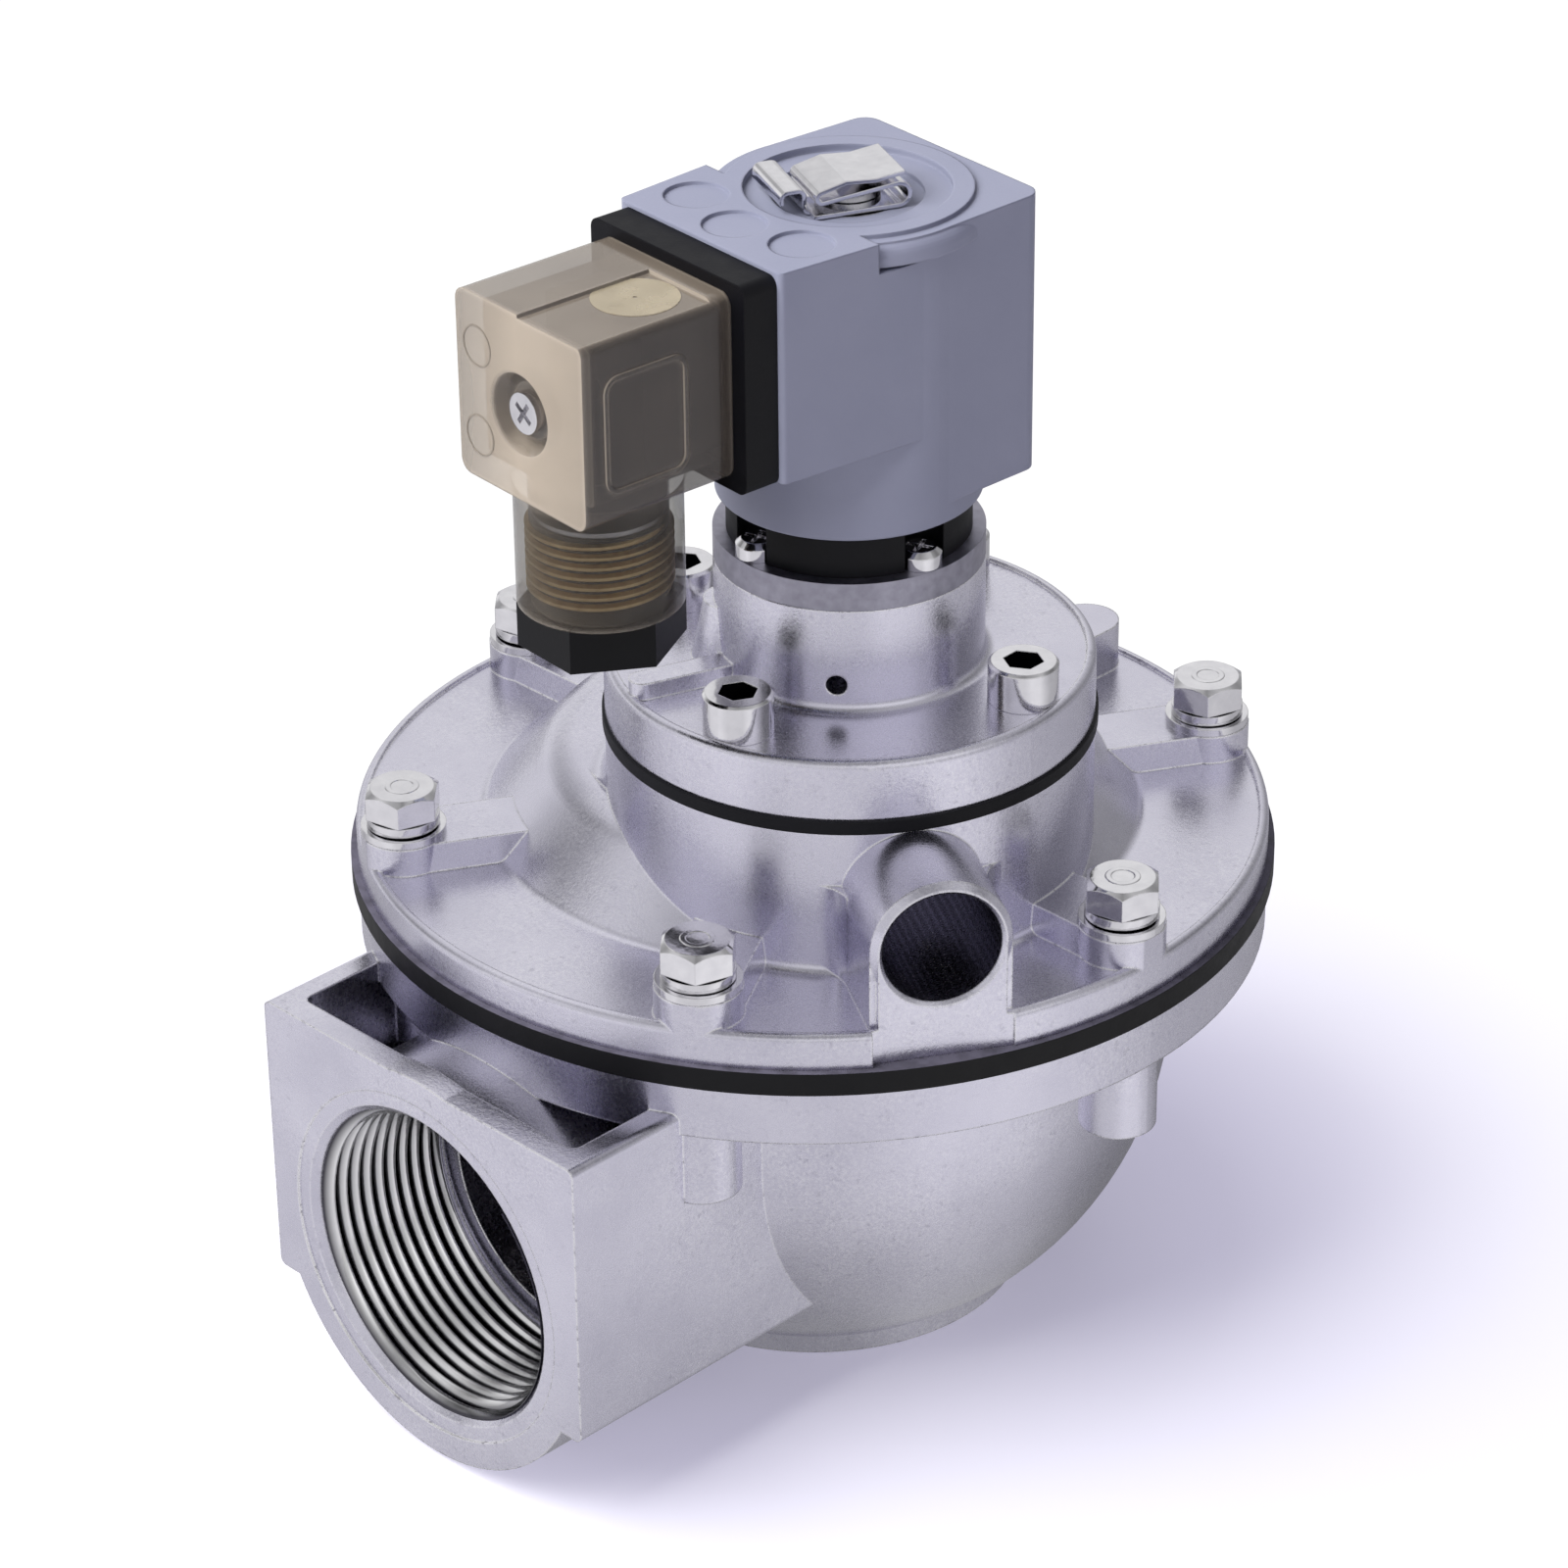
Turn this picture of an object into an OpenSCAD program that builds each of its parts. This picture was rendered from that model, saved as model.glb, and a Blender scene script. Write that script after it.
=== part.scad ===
// Right angle pulse valve: two diaphragms, a side exhaust and a solenoid pilot on top.
// The outlet faces down and stands on z = 0, and the inlet faces -Y.

/* [Body] */
// Height from the outlet face to the top face of the body
body_h = 68.4; // [66.8:0.1:76]
// Radius of the clamped flange of the body
flange_r = 67; // [66:0.5:72]
// Thickness of the flange of the body
body_flange_t = 8.5; // [6:0.5:11]
// Outer radius of the round bowl under the flange
bowl_r = 53.7; // [52.8:0.1:54.4]
// Thickness of the wall of the bowl
bowl_wall = 4.5; // [4:0.1:5.5]

/* [Ports] */
// Radius of the inlet and outlet at the roots of the pipe thread
port_r = 23.9; // [20:0.1:24.5]
// Depth of the threaded length in both ports
port_depth = 25; // [18:1:27]
// Radius of the flow passage behind the threads
flow_r = 20.5; // [17:0.5:21]
// Distance from the main axis to the face of the inlet
inlet_reach = 79; // [78:0.2:90]
// Outer radius of the round inlet boss
inlet_boss_r = 31.6; // [29.5:0.1:32]
// Width of the square inlet block
block_w = 64.6; // [64:0.2:72]
// Height of the top edge of the inlet block
block_top = 63.2; // [60:0.1:65]
// Height of the lower corners of the inlet block
block_bottom = 17.8; // [12:0.2:22]
// Thickness of the walls around the open trough
trough_wall = 4; // [3:0.5:5]
// Outer radius of the ring around the outlet
outlet_ring_r = 31.8; // [29:0.1:32.4]

/* [Main diaphragm] */
// Thickness of the main diaphragm
main_rubber_t = 3.5; // [2.5:0.5:5]
// How far the rubber stands proud of the castings
rubber_proud = 1; // [0.5:0.5:2]
// Lift of the main diaphragm
main_lift = 8; // [5:0.5:8.5]
// Radius of the plate on top of the main diaphragm
main_plate_r = 31; // [28:0.5:31.5]
// Width of the flat top of the seat lip
seat_lip = 2.6; // [2:0.2:4]

/* [Bonnet] */
// Height of the rim of the bonnet
rim_h = 4.9; // [4:0.1:8]
// Radius of the dome where it meets the flange
dome_r = 48.2; // [47:0.1:50]
// Height of the dome above the flange
dome_h = 11.6; // [11:0.1:13]
// Slope of the side of the dome
dome_slope = 47; // [45:1:60]
// Distance from the main axis to the axis of the pilot neck
neck_offset = 15.4; // [12:0.2:16.4]
// Direction of the pilot neck, from +X
neck_angle = -24; // [-40:1:-10]
// Outer radius of the pilot neck
neck_r = 35; // [34.6:0.1:37]
// Height of the pilot neck above the flange
neck_h = 22.3; // [22:0.1:27]
// Direction of the exhaust port, from +X
exhaust_angle = -31; // [-35:1:-25]
// Radius of the exhaust bore
exhaust_r = 8.45; // [6:0.05:8.6]
// Thickness of metal around the exhaust bore
exhaust_wall = 1.7; // [1.4:0.1:2.4]
// Distance from the axis of the neck to the face of the exhaust port
exhaust_reach = 50.3; // [48:0.1:50.6]

/* [Flange bolts] */
// Number of bolts around the main flange
bolt_n = 6; // [6:1:6]
// Distance from the edge of the flange to the circle of flange bolts
bolt_inset = 6; // [5.8:0.1:7.5]
// Radius of the raised boss under each bolt
bolt_boss_r = 6.3; // [6.2:0.1:7]
// Height of the raised boss under each bolt
bolt_boss_h = 4.4; // [3:0.1:6]
// Radius of the bolt shank
bolt_r = 3; // [2.5:0.1:3]
// Width of the hexagon across its flats
bolt_af = 10; // [9:0.5:11]
// Height of the hexagon head
bolt_head_h = 4.2; // [3.5:0.1:5]

/* [Pilot cap] */
// Thickness of the pilot diaphragm
pilot_rubber_t = 2; // [1.5:0.1:3]
// Thickness of the round cap flange
cap_t = 8.5; // [7:0.5:12]
// Lift of the pilot diaphragm
pilot_lift = 2.5; // [1.5:0.1:3]
// Radius of the pilot chamber
pilot_chamber_r = 24; // [22:0.5:24.4]
// Radius of the tower on the cap
tower_r = 19.2; // [19:0.1:21]
// Height of the tower above the cap
tower_h = 15.6; // [14:0.2:20]
// Radius of the circle of cap screws
cap_screw_circle_r = 28.6; // [28.5:0.1:29.5]
// Direction of the first cap screw, from +X
cap_screw_angle = 12; // [5:1:25]
// Radius of the head of a cap screw
cap_screw_head_r = 5; // [4.5:0.1:5.2]
// Height of the head of a cap screw
cap_screw_head_h = 6; // [5:0.5:8]
// Radius of the vent hole in the tower
vent_r = 1.5; // [1:0.1:1.8]
// Direction of the vent hole, from +X
vent_angle = -51; // [-55:1:-40]

/* [Solenoid] */
// Thickness of the ring that holds down the armature tube
ring_t = 4.2; // [4:0.1:7]
// Direction of the first screw of the ring, from +X
ring_screw_angle = -8; // [-20:1:20]
// Gap between the ring and the coil
coil_gap = 6.5; // [5:0.1:8]
// Outer radius of the armature tube
tube_r = 7; // [6.8:0.1:7.4]
// Thickness of the wall of the armature tube
tube_wall = 0.9; // [0.6:0.1:1.2]
// Travel of the plunger
plunger_lift = 1.8; // [1:0.1:2.5]
// Radius of the round body of the coil
coil_body_r = 18.8; // [18:0.1:20]
// Height of the connector block above the foot of the coil
coil_foot_h = 13.8; // [12:0.1:18]
// Width of the connector face of the coil
coil_w = 33.8; // [33:0.1:36]
// Width across the back of the coil
coil_back_w = 36.4; // [35:0.1:37]
// Height of the connector block of the coil
coil_h = 30.7; // [29:0.1:36]
// Distance from the tube axis to the connector face of the coil
coil_front = 26.1; // [25:0.1:30]
// Distance from the tube axis to the back face of the coil
coil_back = 19.2; // [18:0.1:24]
// Turn of the coil about the tube
coil_turn = -4.8; // [-20:0.2:20]

/* [Connector] */
// Width of the plug housing
plug_w = 26.8; // [26:0.1:28]
// Height of the plug housing
plug_h = 27; // [26.6:0.1:32]
// Depth of the plug housing from the gasket to its face
plug_d = 25; // [24:0.1:30]
// Thickness of the connector gasket
gasket_t = 5.6; // [3:0.1:6]
// Outer radius of the cable gland
gland_r = 11.5; // [11.2:0.1:12.4]
// Length of the cable gland below the plug
gland_len = 18.1; // [17:0.1:22]
// Radius of the cable hole through the gland nut
cable_r = 5; // [3.5:0.1:5.5]

/* [Hidden] */
$fn = 96;
eps = 0.01;
// Clearance between pieces that stay together, and between pieces that slide
fit = 0.05;
run = 0.08;
// Gap under a spring or a moving disc at rest
seat_gap = 0.1;

// Levels from the outlet face up
inlet_z = inlet_boss_r + 0.6;
rubber_r = flange_r + rubber_proud;
bolt_circle_r = flange_r - bolt_inset;
bonnet_z = body_h + main_rubber_t;
deck_z = bonnet_z + rim_h;
pilot_z = deck_z + neck_h;
cap_z = pilot_z + pilot_rubber_t;
tower_z = cap_z + cap_t;
ring_z = tower_z + tower_h;
seal_z = ring_z + ring_t;
coil_z = seal_z + coil_gap;
block_z = coil_z + coil_foot_h;
coil_top = block_z + coil_h;

// Bowl, seat and trough of the body
bowl_drop = 22.3;
bowl_z = body_h - bowl_drop;
chamber_r = bowl_r - bowl_wall;
ring_foot_h = 3.5;
seat_drop = 3.7;
seat_r = flow_r + seat_lip;
chamber_floor = 9;
trough_floor = 40;
trough_barrel_r = inlet_boss_r - 1.8;
trough_end = 15;
trough_len = inlet_reach - trough_wall - trough_end;
mouth_bevel = 1;

// Main moving stack
plate_t = 2;
centre_r = 4;
centre_af = 13;
centre_head_h = 3;
centre_nut_h = 5;

// Cavities of the bonnet
ceiling_z = bonnet_z + plate_t + centre_head_h + main_lift + 1.2;
ledge_r = chamber_r;
ledge_h = 4.5;
cavity_r = main_plate_r + 3;
pilot_floor = ceiling_z + 3;
pilot_seat_z = pilot_z - 1.2;
pilot_bore_r = 6;
pilot_tube_r = 9;
exhaust_z = pilot_z - exhaust_r - exhaust_wall - 0.2;
exhaust_start = pilot_chamber_r - 2;
exhaust_w = exhaust_r + exhaust_wall;

// Rounding between the slope of the dome and its flat crown
crown_r = 7.5;
crown_edge = dome_r - (crown_r + (dome_h - crown_r) * cos(dome_slope)) / sin(dome_slope);

// Lips, fillets and the lug of the castings
fairing_r = 5;
lip_w = 1.4;
lip_h = 0.5;
edge_r = 1.1;
lug_reach = flange_r - 7.3;
lug_r = 5;
lug_h = 7.4;

// Bolts and washers
washer_t = 1.2;
washer_r = 6.2;
spring_washer_t = 1.8;
boss_z = deck_z + bolt_boss_h;
spring_washer_z = boss_z + washer_t;
bolt_z = spring_washer_z + spring_washer_t;
bolt_end = body_h - 17;
body_boss_r = 5.6;
body_boss_z = body_h - 20;
rib_w = 10.6;
rib_draft = 0.5;

// Pilot stack and plunger chamber
cap_bore_r = 9.5;
cap_bore_z = tower_z + 4.5;
rib_angle = -110;
cap_screw_r = 3;
cap_screw_end = pilot_z - 12;
pilot_plate_r = 11;
pilot_plate_t = 1.2;
rivet_r = 1.8;
rivet_head_r = 3.4;
rivet_head_h = 1;
cap_cavity_h = pilot_plate_t + rivet_head_h + pilot_lift + 0.8;
tube_flange_r = 12.7;
tube_flange_t = 2;
tube_seat_z = ring_z - tube_flange_t;
o_ring_r = 11.3;
o_ring_wire_r = 0.75;
o_ring_groove_h = 2 * o_ring_wire_r + 0.1;
plunger_well_r = 9.4;
plunger_well_z = tube_seat_z - 2.6;
orifice_r = 4;
orifice_z = tube_seat_z + 0.5;
vent_z = tower_z + 4.1;
vent_well_r = 7.6;
ring_screw_circle_r = 16;
ring_screw_r = 2;
ring_screw_head_r = 3.1;
ring_screw_head_h = 2.7;

// Tube, plunger and coil
tube_in_r = tube_r - tube_wall;
recess_r = 10.5;
recess_z = coil_top - 1.7;
dish_r = 14.3;
dish_z = coil_top - 1;
ring_edge_r = 17.3;
back_drop = 0.6;
back_lift = 2.8;
touch_in = 0.04;
shoulder_r = coil_body_r + 1;
shoulder_h = 3.2;
shoulder_y = -10;
stub_r = 4.5;
stub_top = recess_z + 1.8;
groove_z = recess_z + 0.1;
groove_h = 0.8;
groove_r = 3.6;
core_top = recess_z - 1;
plunger_r = tube_in_r - run;
plunger_z = orifice_z + 0.4;
plunger_len = 33;
core_z = plunger_z + plunger_len + plunger_lift;
pad_r = 2.6;
pad_h = 2.4;
spring_bore_r = 3.1;
spring_bore_h = 14;
coil_bore_r = tube_r + run;
clip_t = 0.6;
clip_w = 13;
clip_turn = -20;
coil_cavity_r = 15;
coil_cavity_z = coil_z + 4;
coil_cavity_h = coil_top - coil_cavity_z - 5;
yoke_t = 2.5;
yoke_r = coil_cavity_r - 0.2;
bobbin_r = coil_cavity_r - 0.6;

// Plug, measured along the coil's own front direction
gasket_y = -coil_front;
plug_y = gasket_y - gasket_t;
plug_face = plug_y - plug_d;
plug_top = coil_top - 2.3;
plug_z = plug_top - plug_h;
plug_wall = 2;
plug_mid_z = plug_z + plug_h / 2;
plug_screw_z = plug_mid_z - 0.8;
gland_y = plug_y - plug_d / 2;
gland_z = plug_z - gland_len;
gland_bore_r = gland_r - 2;
gland_thread_h = 13;
gland_seal_h = 5;
nut_head_h = 6.4;
nut_corner_r = gland_r + 0.1;
insert_w = 20.4;
insert_d = 13;
blade_w = 6.3;
blade_t = 0.8;
blade_pitch = 18;
blade_len = 8.5;
screw_r = 1.5;
screw_head_r = 2.9;
screw_well_h = 2;
top_step = 0.5;

// Places the children at a distance and a direction from the main axis
module polar_at(r, a) {
    rotate([0, 0, a]) translate([r, 0, 0]) children();
}

// Places the children on the axis of the pilot neck
module on_neck() {
    polar_at(neck_offset, neck_angle) rotate([0, 0, -neck_angle]) children();
}

// Places the children on the neck axis and turns them with the coil
module on_coil() {
    on_neck() rotate([0, 0, coil_turn]) children();
}

// Repeats the children around the axis
module around(n, r, first = 0) {
    for (i = [0 : n - 1]) polar_at(r, first + i * 360 / n) children();
}

// A plain cylinder between two levels
module post(r, z0, z1) {
    translate([0, 0, z0]) cylinder(r = r, h = z1 - z0);
}

// A tube between two levels
module tube(r_out, r_in, z0, z1) {
    difference() {
        post(r_out, z0, z1);
        post(r_in, z0 - 1, z1 + 1);
    }
}

// A cylinder along Y between two places, its centre at height z
module bar_y(r, y0, y1, z) {
    translate([0, y1, z]) rotate([90, 0, 0]) cylinder(r = r, h = y1 - y0);
}

// A rectangle with round corners, centred on the origin
module round_rect(w, h, r) {
    square([w - 2 * r, h], center = true);
    square([w, h - 2 * r], center = true);
    for (x = [-1, 1], y = [-1, 1])
        translate([x * (w / 2 - r), y * (h / 2 - r)]) circle(r);
}

// A box with round vertical edges, centred in X and Y
module round_box(w, d, h, r) {
    linear_extrude(h) round_rect(w, d, r);
}

// A box with round edges along Y, from y0 to y1 and up from z
module face_box(w, h, y0, y1, z, r) {
    translate([0, y1, z + h / 2]) rotate([90, 0, 0]) linear_extrude(y1 - y0) round_rect(w, h, r);
}

// A concave fillet that widens a post of radius r towards its foot at z = 0
module foot_fillet(r, f) {
    rotate_extrude() difference() {
        translate([r - 1, 0]) square([f + 1, f]);
        translate([r + f, f]) circle(f, $fn = 64);
    }
}

// Radius of a spring's turn and height of the wire's centre along its length u from 0 to 1
function spring_r(u, r0, r1) = r0 + (r1 - r0) * u;
function spring_rise(u, turns) =
    let (flat = 0.8 / turns)
    u < flat ? 0 : u > 1 - flat ? 1 : (u - flat) / (1 - 2 * flat);

// A compression spring with closed ends, from z0 to z1, of radius r0 at its foot and r1 at its top
module spring(r0, r1, z0, z1, wire, turns, sides = 8, steps = 14) {
    n = floor(turns * steps);
    rise = z1 - z0 - wire;
    points = [
        for (i = [0 : n], k = [0 : sides - 1])
            let (
                u = i / n,
                r = spring_r(u, r0, r1) + wire / 2 * cos(k * 360 / sides),
                z = z0 + wire / 2 + rise * spring_rise(u, turns) + wire / 2 * sin(k * 360 / sides),
                a = u * turns * 360
            )
            [r * cos(a), r * sin(a), z]
    ];
    walls = [
        for (i = [0 : n - 1], k = [0 : sides - 1])
            let (j = (k + 1) % sides)
            [i * sides + k, i * sides + j, (i + 1) * sides + j, (i + 1) * sides + k]
    ];
    first = [[for (k = [sides - 1 : -1 : 0]) k]];
    last = [[for (k = [0 : sides - 1]) n * sides + k]];
    polyhedron(points, concat(walls, first, last), convexity = 8);
}

// Half section of the bowl, its flange and the ring around the outlet
module bowl_section() {
    intersection() {
        translate([0, bowl_z]) circle(bowl_r);
        translate([0, ring_foot_h]) square([bowl_r + 1, bowl_z - ring_foot_h]);
    }
    translate([0, bowl_z]) square([bowl_r, body_h - bowl_z]);
    square([outlet_ring_r, ring_foot_h + 2]);
    translate([0, body_h - body_flange_t]) square([flange_r, body_flange_t]);
}

// Half section of the ring-shaped chamber around the outlet pipe
module chamber_section() {
    difference() {
        union() {
            intersection() {
                translate([0, bowl_z]) circle(bowl_r - bowl_wall);
                translate([0, chamber_floor]) square([bowl_r, bowl_z - chamber_floor]);
            }
            translate([0, bowl_z]) square([chamber_r, body_h - bowl_z + 1]);
        }
        square([port_r + 4.6, port_depth + 3]);
        polygon([
            [0, port_depth], [port_r + 4.6, port_depth + 2.9],
            [seat_r + 1, port_depth + 12], [seat_r, body_h - seat_drop], [0, body_h - seat_drop]
        ]);
    }
}

// The inlet block with its open trough in front of the bowl
module inlet_block() {
    block_h = block_top - block_bottom;
    difference() {
        union() {
            face_box(block_w, block_h, -inlet_reach, -outlet_ring_r + 6, block_bottom, 1.2);
            bar_y(inlet_boss_r, -inlet_reach, -outlet_ring_r + 6, inlet_z);
        }
        difference() {
            translate([0, -trough_end - trough_len / 2, trough_floor])
                round_box(block_w - 2 * trough_wall, trough_len, block_top - trough_floor + 1, 1.5);
            bar_y(trough_barrel_r, -inlet_reach - 1, 0, inlet_z);
        }
    }
}

// The part of the pipe thread's hole that opens the mouth
module mouth_chamfer(c) {
    translate([0, 0, -eps]) cylinder(r1 = port_r + c, r2 = port_r - eps, h = c + eps);
}

module valve_body() {
    color("lightsteelblue") difference() {
        union() {
            rotate_extrude() bowl_section();
            inlet_block();
            around(bolt_n, bolt_circle_r) post(body_boss_r, body_boss_z, body_h - 1);
        }
        rotate_extrude() chamber_section();
        post(port_r, -1, port_depth);
        post(flow_r, port_depth - 1, body_h);
        mouth_chamfer(mouth_bevel);
        bar_y(port_r, -inlet_reach - 1, -inlet_reach + port_depth, inlet_z);
        bar_y(flow_r, -inlet_reach + port_depth - 1, -port_r - 8, inlet_z);
        translate([0, -inlet_reach, inlet_z]) rotate([-90, 0, 0]) mouth_chamfer(mouth_bevel + 0.4);
        bar_y(port_r + 3.4, -inlet_reach - 1, -inlet_reach + 0.3, inlet_z);
        around(bolt_n, bolt_circle_r) post(bolt_r + fit, bolt_end - 1.5, body_h + 1);
    }
}

module main_diaphragm() {
    color("#1c1c20") difference() {
        post(rubber_r, body_h, bonnet_z);
        post(centre_r + fit, body_h - 1, bonnet_z + 1);
        around(bolt_n, bolt_circle_r) post(bolt_r + 0.4, body_h - 1, bonnet_z + 1);
        polar_at(main_plate_r + 8, 100) post(1, body_h - 1, bonnet_z + 1);
    }
}

module main_plate() {
    color("silver") difference() {
        post(main_plate_r, bonnet_z, bonnet_z + plate_t);
        post(centre_r + fit, bonnet_z - 1, bonnet_z + plate_t + 1);
    }
}

module main_seat_pad() {
    color("ivory") difference() {
        union() {
            post(seat_r + 1.5, body_h - seat_drop + seat_gap, body_h);
            post(flow_r - 3, body_h - seat_drop - 2, body_h - seat_drop + 1);
        }
        post(centre_r + fit, body_h - seat_drop - 3, body_h + 1);
    }
}

module main_centre_bolt() {
    color("gainsboro") {
        post(centre_r, body_h - seat_drop - 9, bonnet_z + plate_t + 1);
        translate([0, 0, bonnet_z + plate_t]) hex_head(centre_af, centre_head_h);
    }
}

module main_centre_nut() {
    top = body_h - seat_drop - 2;
    color("gainsboro") difference() {
        translate([0, 0, top - centre_nut_h]) hex_head(centre_af, centre_nut_h);
        post(centre_r + fit, top - centre_nut_h - 1, top + 1);
    }
}

module main_spring() {
    color("gray") spring(main_plate_r - 4, main_plate_r - 6.5, bonnet_z + plate_t + seat_gap,
        ceiling_z - seat_gap, 1.8, 2.6, 8, 18);
}

// A round flange from z0 up to z1, with a narrow raised lip along its rounded edge
module lipped_disc(r, z0, z1) {
    top = z1 + lip_h;
    rotate_extrude() {
        translate([0, z0]) square([r, top - edge_r - z0]);
        translate([0, z0]) square([r - lip_w, z1 - z0]);
        translate([r - lip_w, z0]) square([lip_w - edge_r, top - z0]);
        intersection() {
            translate([r - edge_r, z0]) square([edge_r, top - z0]);
            translate([r - edge_r, top - edge_r]) circle(edge_r, $fn = 48);
        }
    }
}

// Points along an arc about centre c, from angle a0 to angle a1
function arc(c, r, a0, a1, n) =
    [for (i = [0 : n]) let (a = a0 + (a1 - a0) * i / n) [c[0] + r * cos(a), c[1] + r * sin(a)]];

// Half section of the dome: a fillet at its foot, a straight slope, and a rounding to the flat crown
module dome_section() {
    foot_r = 2;
    foot = dome_r + foot_r * tan(dome_slope / 2);
    translate([0, deck_z]) polygon(concat(
        [[0, -rim_h / 2], [foot, -rim_h / 2]],
        arc([foot, foot_r], foot_r, -90, -90 - dome_slope, 5),
        arc([crown_edge, dome_h - crown_r], crown_r, 90 - dome_slope, 90, 10),
        [[0, dome_h]]
    ));
}

// One bolt boss with the flat rib that ties it to the dome
module bolt_boss() {
    wide = rib_w / 2 + rib_draft;
    top = rib_w / 2;
    start = dome_r - 8;
    translate([bolt_circle_r, 0, 0]) post(bolt_boss_r, deck_z - 1, boss_z);
    translate([start, 0, deck_z]) rotate([90, 0, 90]) linear_extrude(bolt_circle_r - start)
        polygon([[-wide, -1], [wide, -1], [wide, 0], [top, bolt_boss_h], [-top, bolt_boss_h], [-wide, 0]]);
}

// Places the children on the neck axis, turned so that X runs out along the exhaust
module on_exhaust() {
    on_neck() rotate([0, 0, exhaust_angle]) children();
}

// A cone or cylinder along the exhaust, from x0 to x1 off the neck axis
module exhaust_bar(r0, r1, x0, x1) {
    on_exhaust() translate([x0, 0, exhaust_z]) rotate([0, 90, 0]) cylinder(r1 = r0, r2 = r1, h = x1 - x0);
}

// The arched block around the exhaust bore
module exhaust_block() {
    edge = 1;
    exhaust_bar(exhaust_w, exhaust_w, 0, exhaust_reach - edge);
    exhaust_bar(exhaust_w, exhaust_w - edge, exhaust_reach - edge, exhaust_reach);
    on_exhaust() {
        translate([0, -exhaust_w, bonnet_z])
            cube([exhaust_reach - edge, 2 * exhaust_w, exhaust_z - bonnet_z]);
        translate([0, -exhaust_w + edge, bonnet_z])
            cube([exhaust_reach, 2 * (exhaust_w - edge), exhaust_z - bonnet_z]);
        fairing();
        mirror([0, 1, 0]) fairing();
    }
}

// The concave corner between the side of the exhaust block and the neck
module fairing() {
    y = exhaust_w + fairing_r;
    x = sqrt(pow(neck_r + fairing_r, 2) - y * y);
    k = neck_r / (neck_r + fairing_r);
    translate([0, 0, deck_z - 1]) linear_extrude(exhaust_z - deck_z + 3) difference() {
        polygon([
            [x * k - 1, exhaust_w - 3], [x, exhaust_w - 3], [x, exhaust_w],
            [x, y], [x * k, y * k], [x * k - 1, y * k - 1]
        ]);
        translate([x, y]) circle(fairing_r);
    }
}

// Everything outside the flat face of the exhaust port, down the rim
module exhaust_face_cut() {
    on_exhaust() translate([exhaust_reach, -exhaust_w, bonnet_z - 1])
        cube([5, 2 * exhaust_w, pilot_z - bonnet_z]);
}

module bonnet() {
    color("lightsteelblue") difference() {
        union() {
            intersection() {
                union() {
                    lipped_disc(flange_r, bonnet_z, deck_z);
                    rotate_extrude() dome_section();
                    for (i = [0 : bolt_n - 1]) rotate([0, 0, i * 360 / bolt_n]) bolt_boss();
                    rotate([0, 0, 90]) lug();
                }
                post(flange_r, bonnet_z, pilot_z + 1);
            }
            on_neck() {
                post(neck_r, bonnet_z + 1, pilot_z);
                translate([0, 0, deck_z]) foot_fillet(neck_r, 1.5);
            }
            intersection() {
                on_neck() translate([0, 0, deck_z + dome_h]) foot_fillet(neck_r, 3);
                post(crown_edge, deck_z, pilot_z);
            }
            exhaust_block();
        }
        exhaust_face_cut();
        exhaust_bar(exhaust_r, exhaust_r, exhaust_start, exhaust_reach + 5);
        exhaust_bar(exhaust_r - eps, exhaust_r + 0.6, exhaust_reach - 0.6, exhaust_reach + eps);
        post(ledge_r, bonnet_z - 1, bonnet_z + ledge_h);
        post(cavity_r, bonnet_z, ceiling_z);
        on_neck() {
            tube(pilot_chamber_r, pilot_tube_r, pilot_floor, pilot_z + 1);
            post(pilot_tube_r + 1, pilot_seat_z, pilot_z + 1);
            post(pilot_bore_r, ceiling_z - 2, pilot_z + 1);
            around(4, cap_screw_circle_r, cap_screw_angle)
                post(cap_screw_r + fit, cap_screw_end - 1.5, pilot_z + 1);
        }
        around(bolt_n, bolt_circle_r) post(bolt_r + 0.3, bonnet_z - 1, boss_z + 1);
    }
}

// A raised lug with a round end and no bolt
module lug() {
    translate([dome_r - 5, -lug_r, deck_z - 1]) cube([lug_reach - dome_r + 5, 2 * lug_r, lug_h + 1]);
    translate([lug_reach, 0, 0]) post(lug_r, deck_z - 1, deck_z + lug_h);
}

// A hexagon head with its corners chamfered, standing on z = 0
module hex_head(af, h) {
    corner = af / 2 / cos(30);
    chamfer = 0.8;
    intersection() {
        cylinder(r = corner, h = h, $fn = 6);
        union() {
            cylinder(r = corner + 1, h = h - chamfer);
            translate([0, 0, h - chamfer]) cylinder(r1 = corner, r2 = af / 2 - 0.4, h = chamfer);
        }
    }
}

module flange_bolts() {
    color("whitesmoke") around(bolt_n, bolt_circle_r) {
        post(bolt_r, bolt_end, bolt_z + 1);
        translate([0, 0, bolt_z]) rotate([0, 0, 12]) hex_head(bolt_af, bolt_head_h);
    }
}

module flange_spring_washers() {
    color("gainsboro") around(bolt_n, bolt_circle_r)
        tube(washer_r - 0.9, bolt_r + 0.2, spring_washer_z, bolt_z);
}

module flange_washers() {
    color("gainsboro") around(bolt_n, bolt_circle_r)
        tube(washer_r, bolt_r + 0.2, boss_z, spring_washer_z);
}

module pilot_diaphragm() {
    color("#1c1c20") on_neck() difference() {
        post(neck_r + 0.4, pilot_z, cap_z);
        post(rivet_r + fit, pilot_z - 1, cap_z + 1);
        around(4, cap_screw_circle_r, cap_screw_angle) post(cap_screw_r + 0.3, pilot_z - 1, cap_z + 1);
        polar_at(pilot_chamber_r - 5, 60) post(0.8, pilot_z - 1, cap_z + 1);
    }
}

module pilot_plate() {
    color("silver") on_neck() tube(pilot_plate_r, rivet_r + fit, cap_z, cap_z + pilot_plate_t);
}

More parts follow.
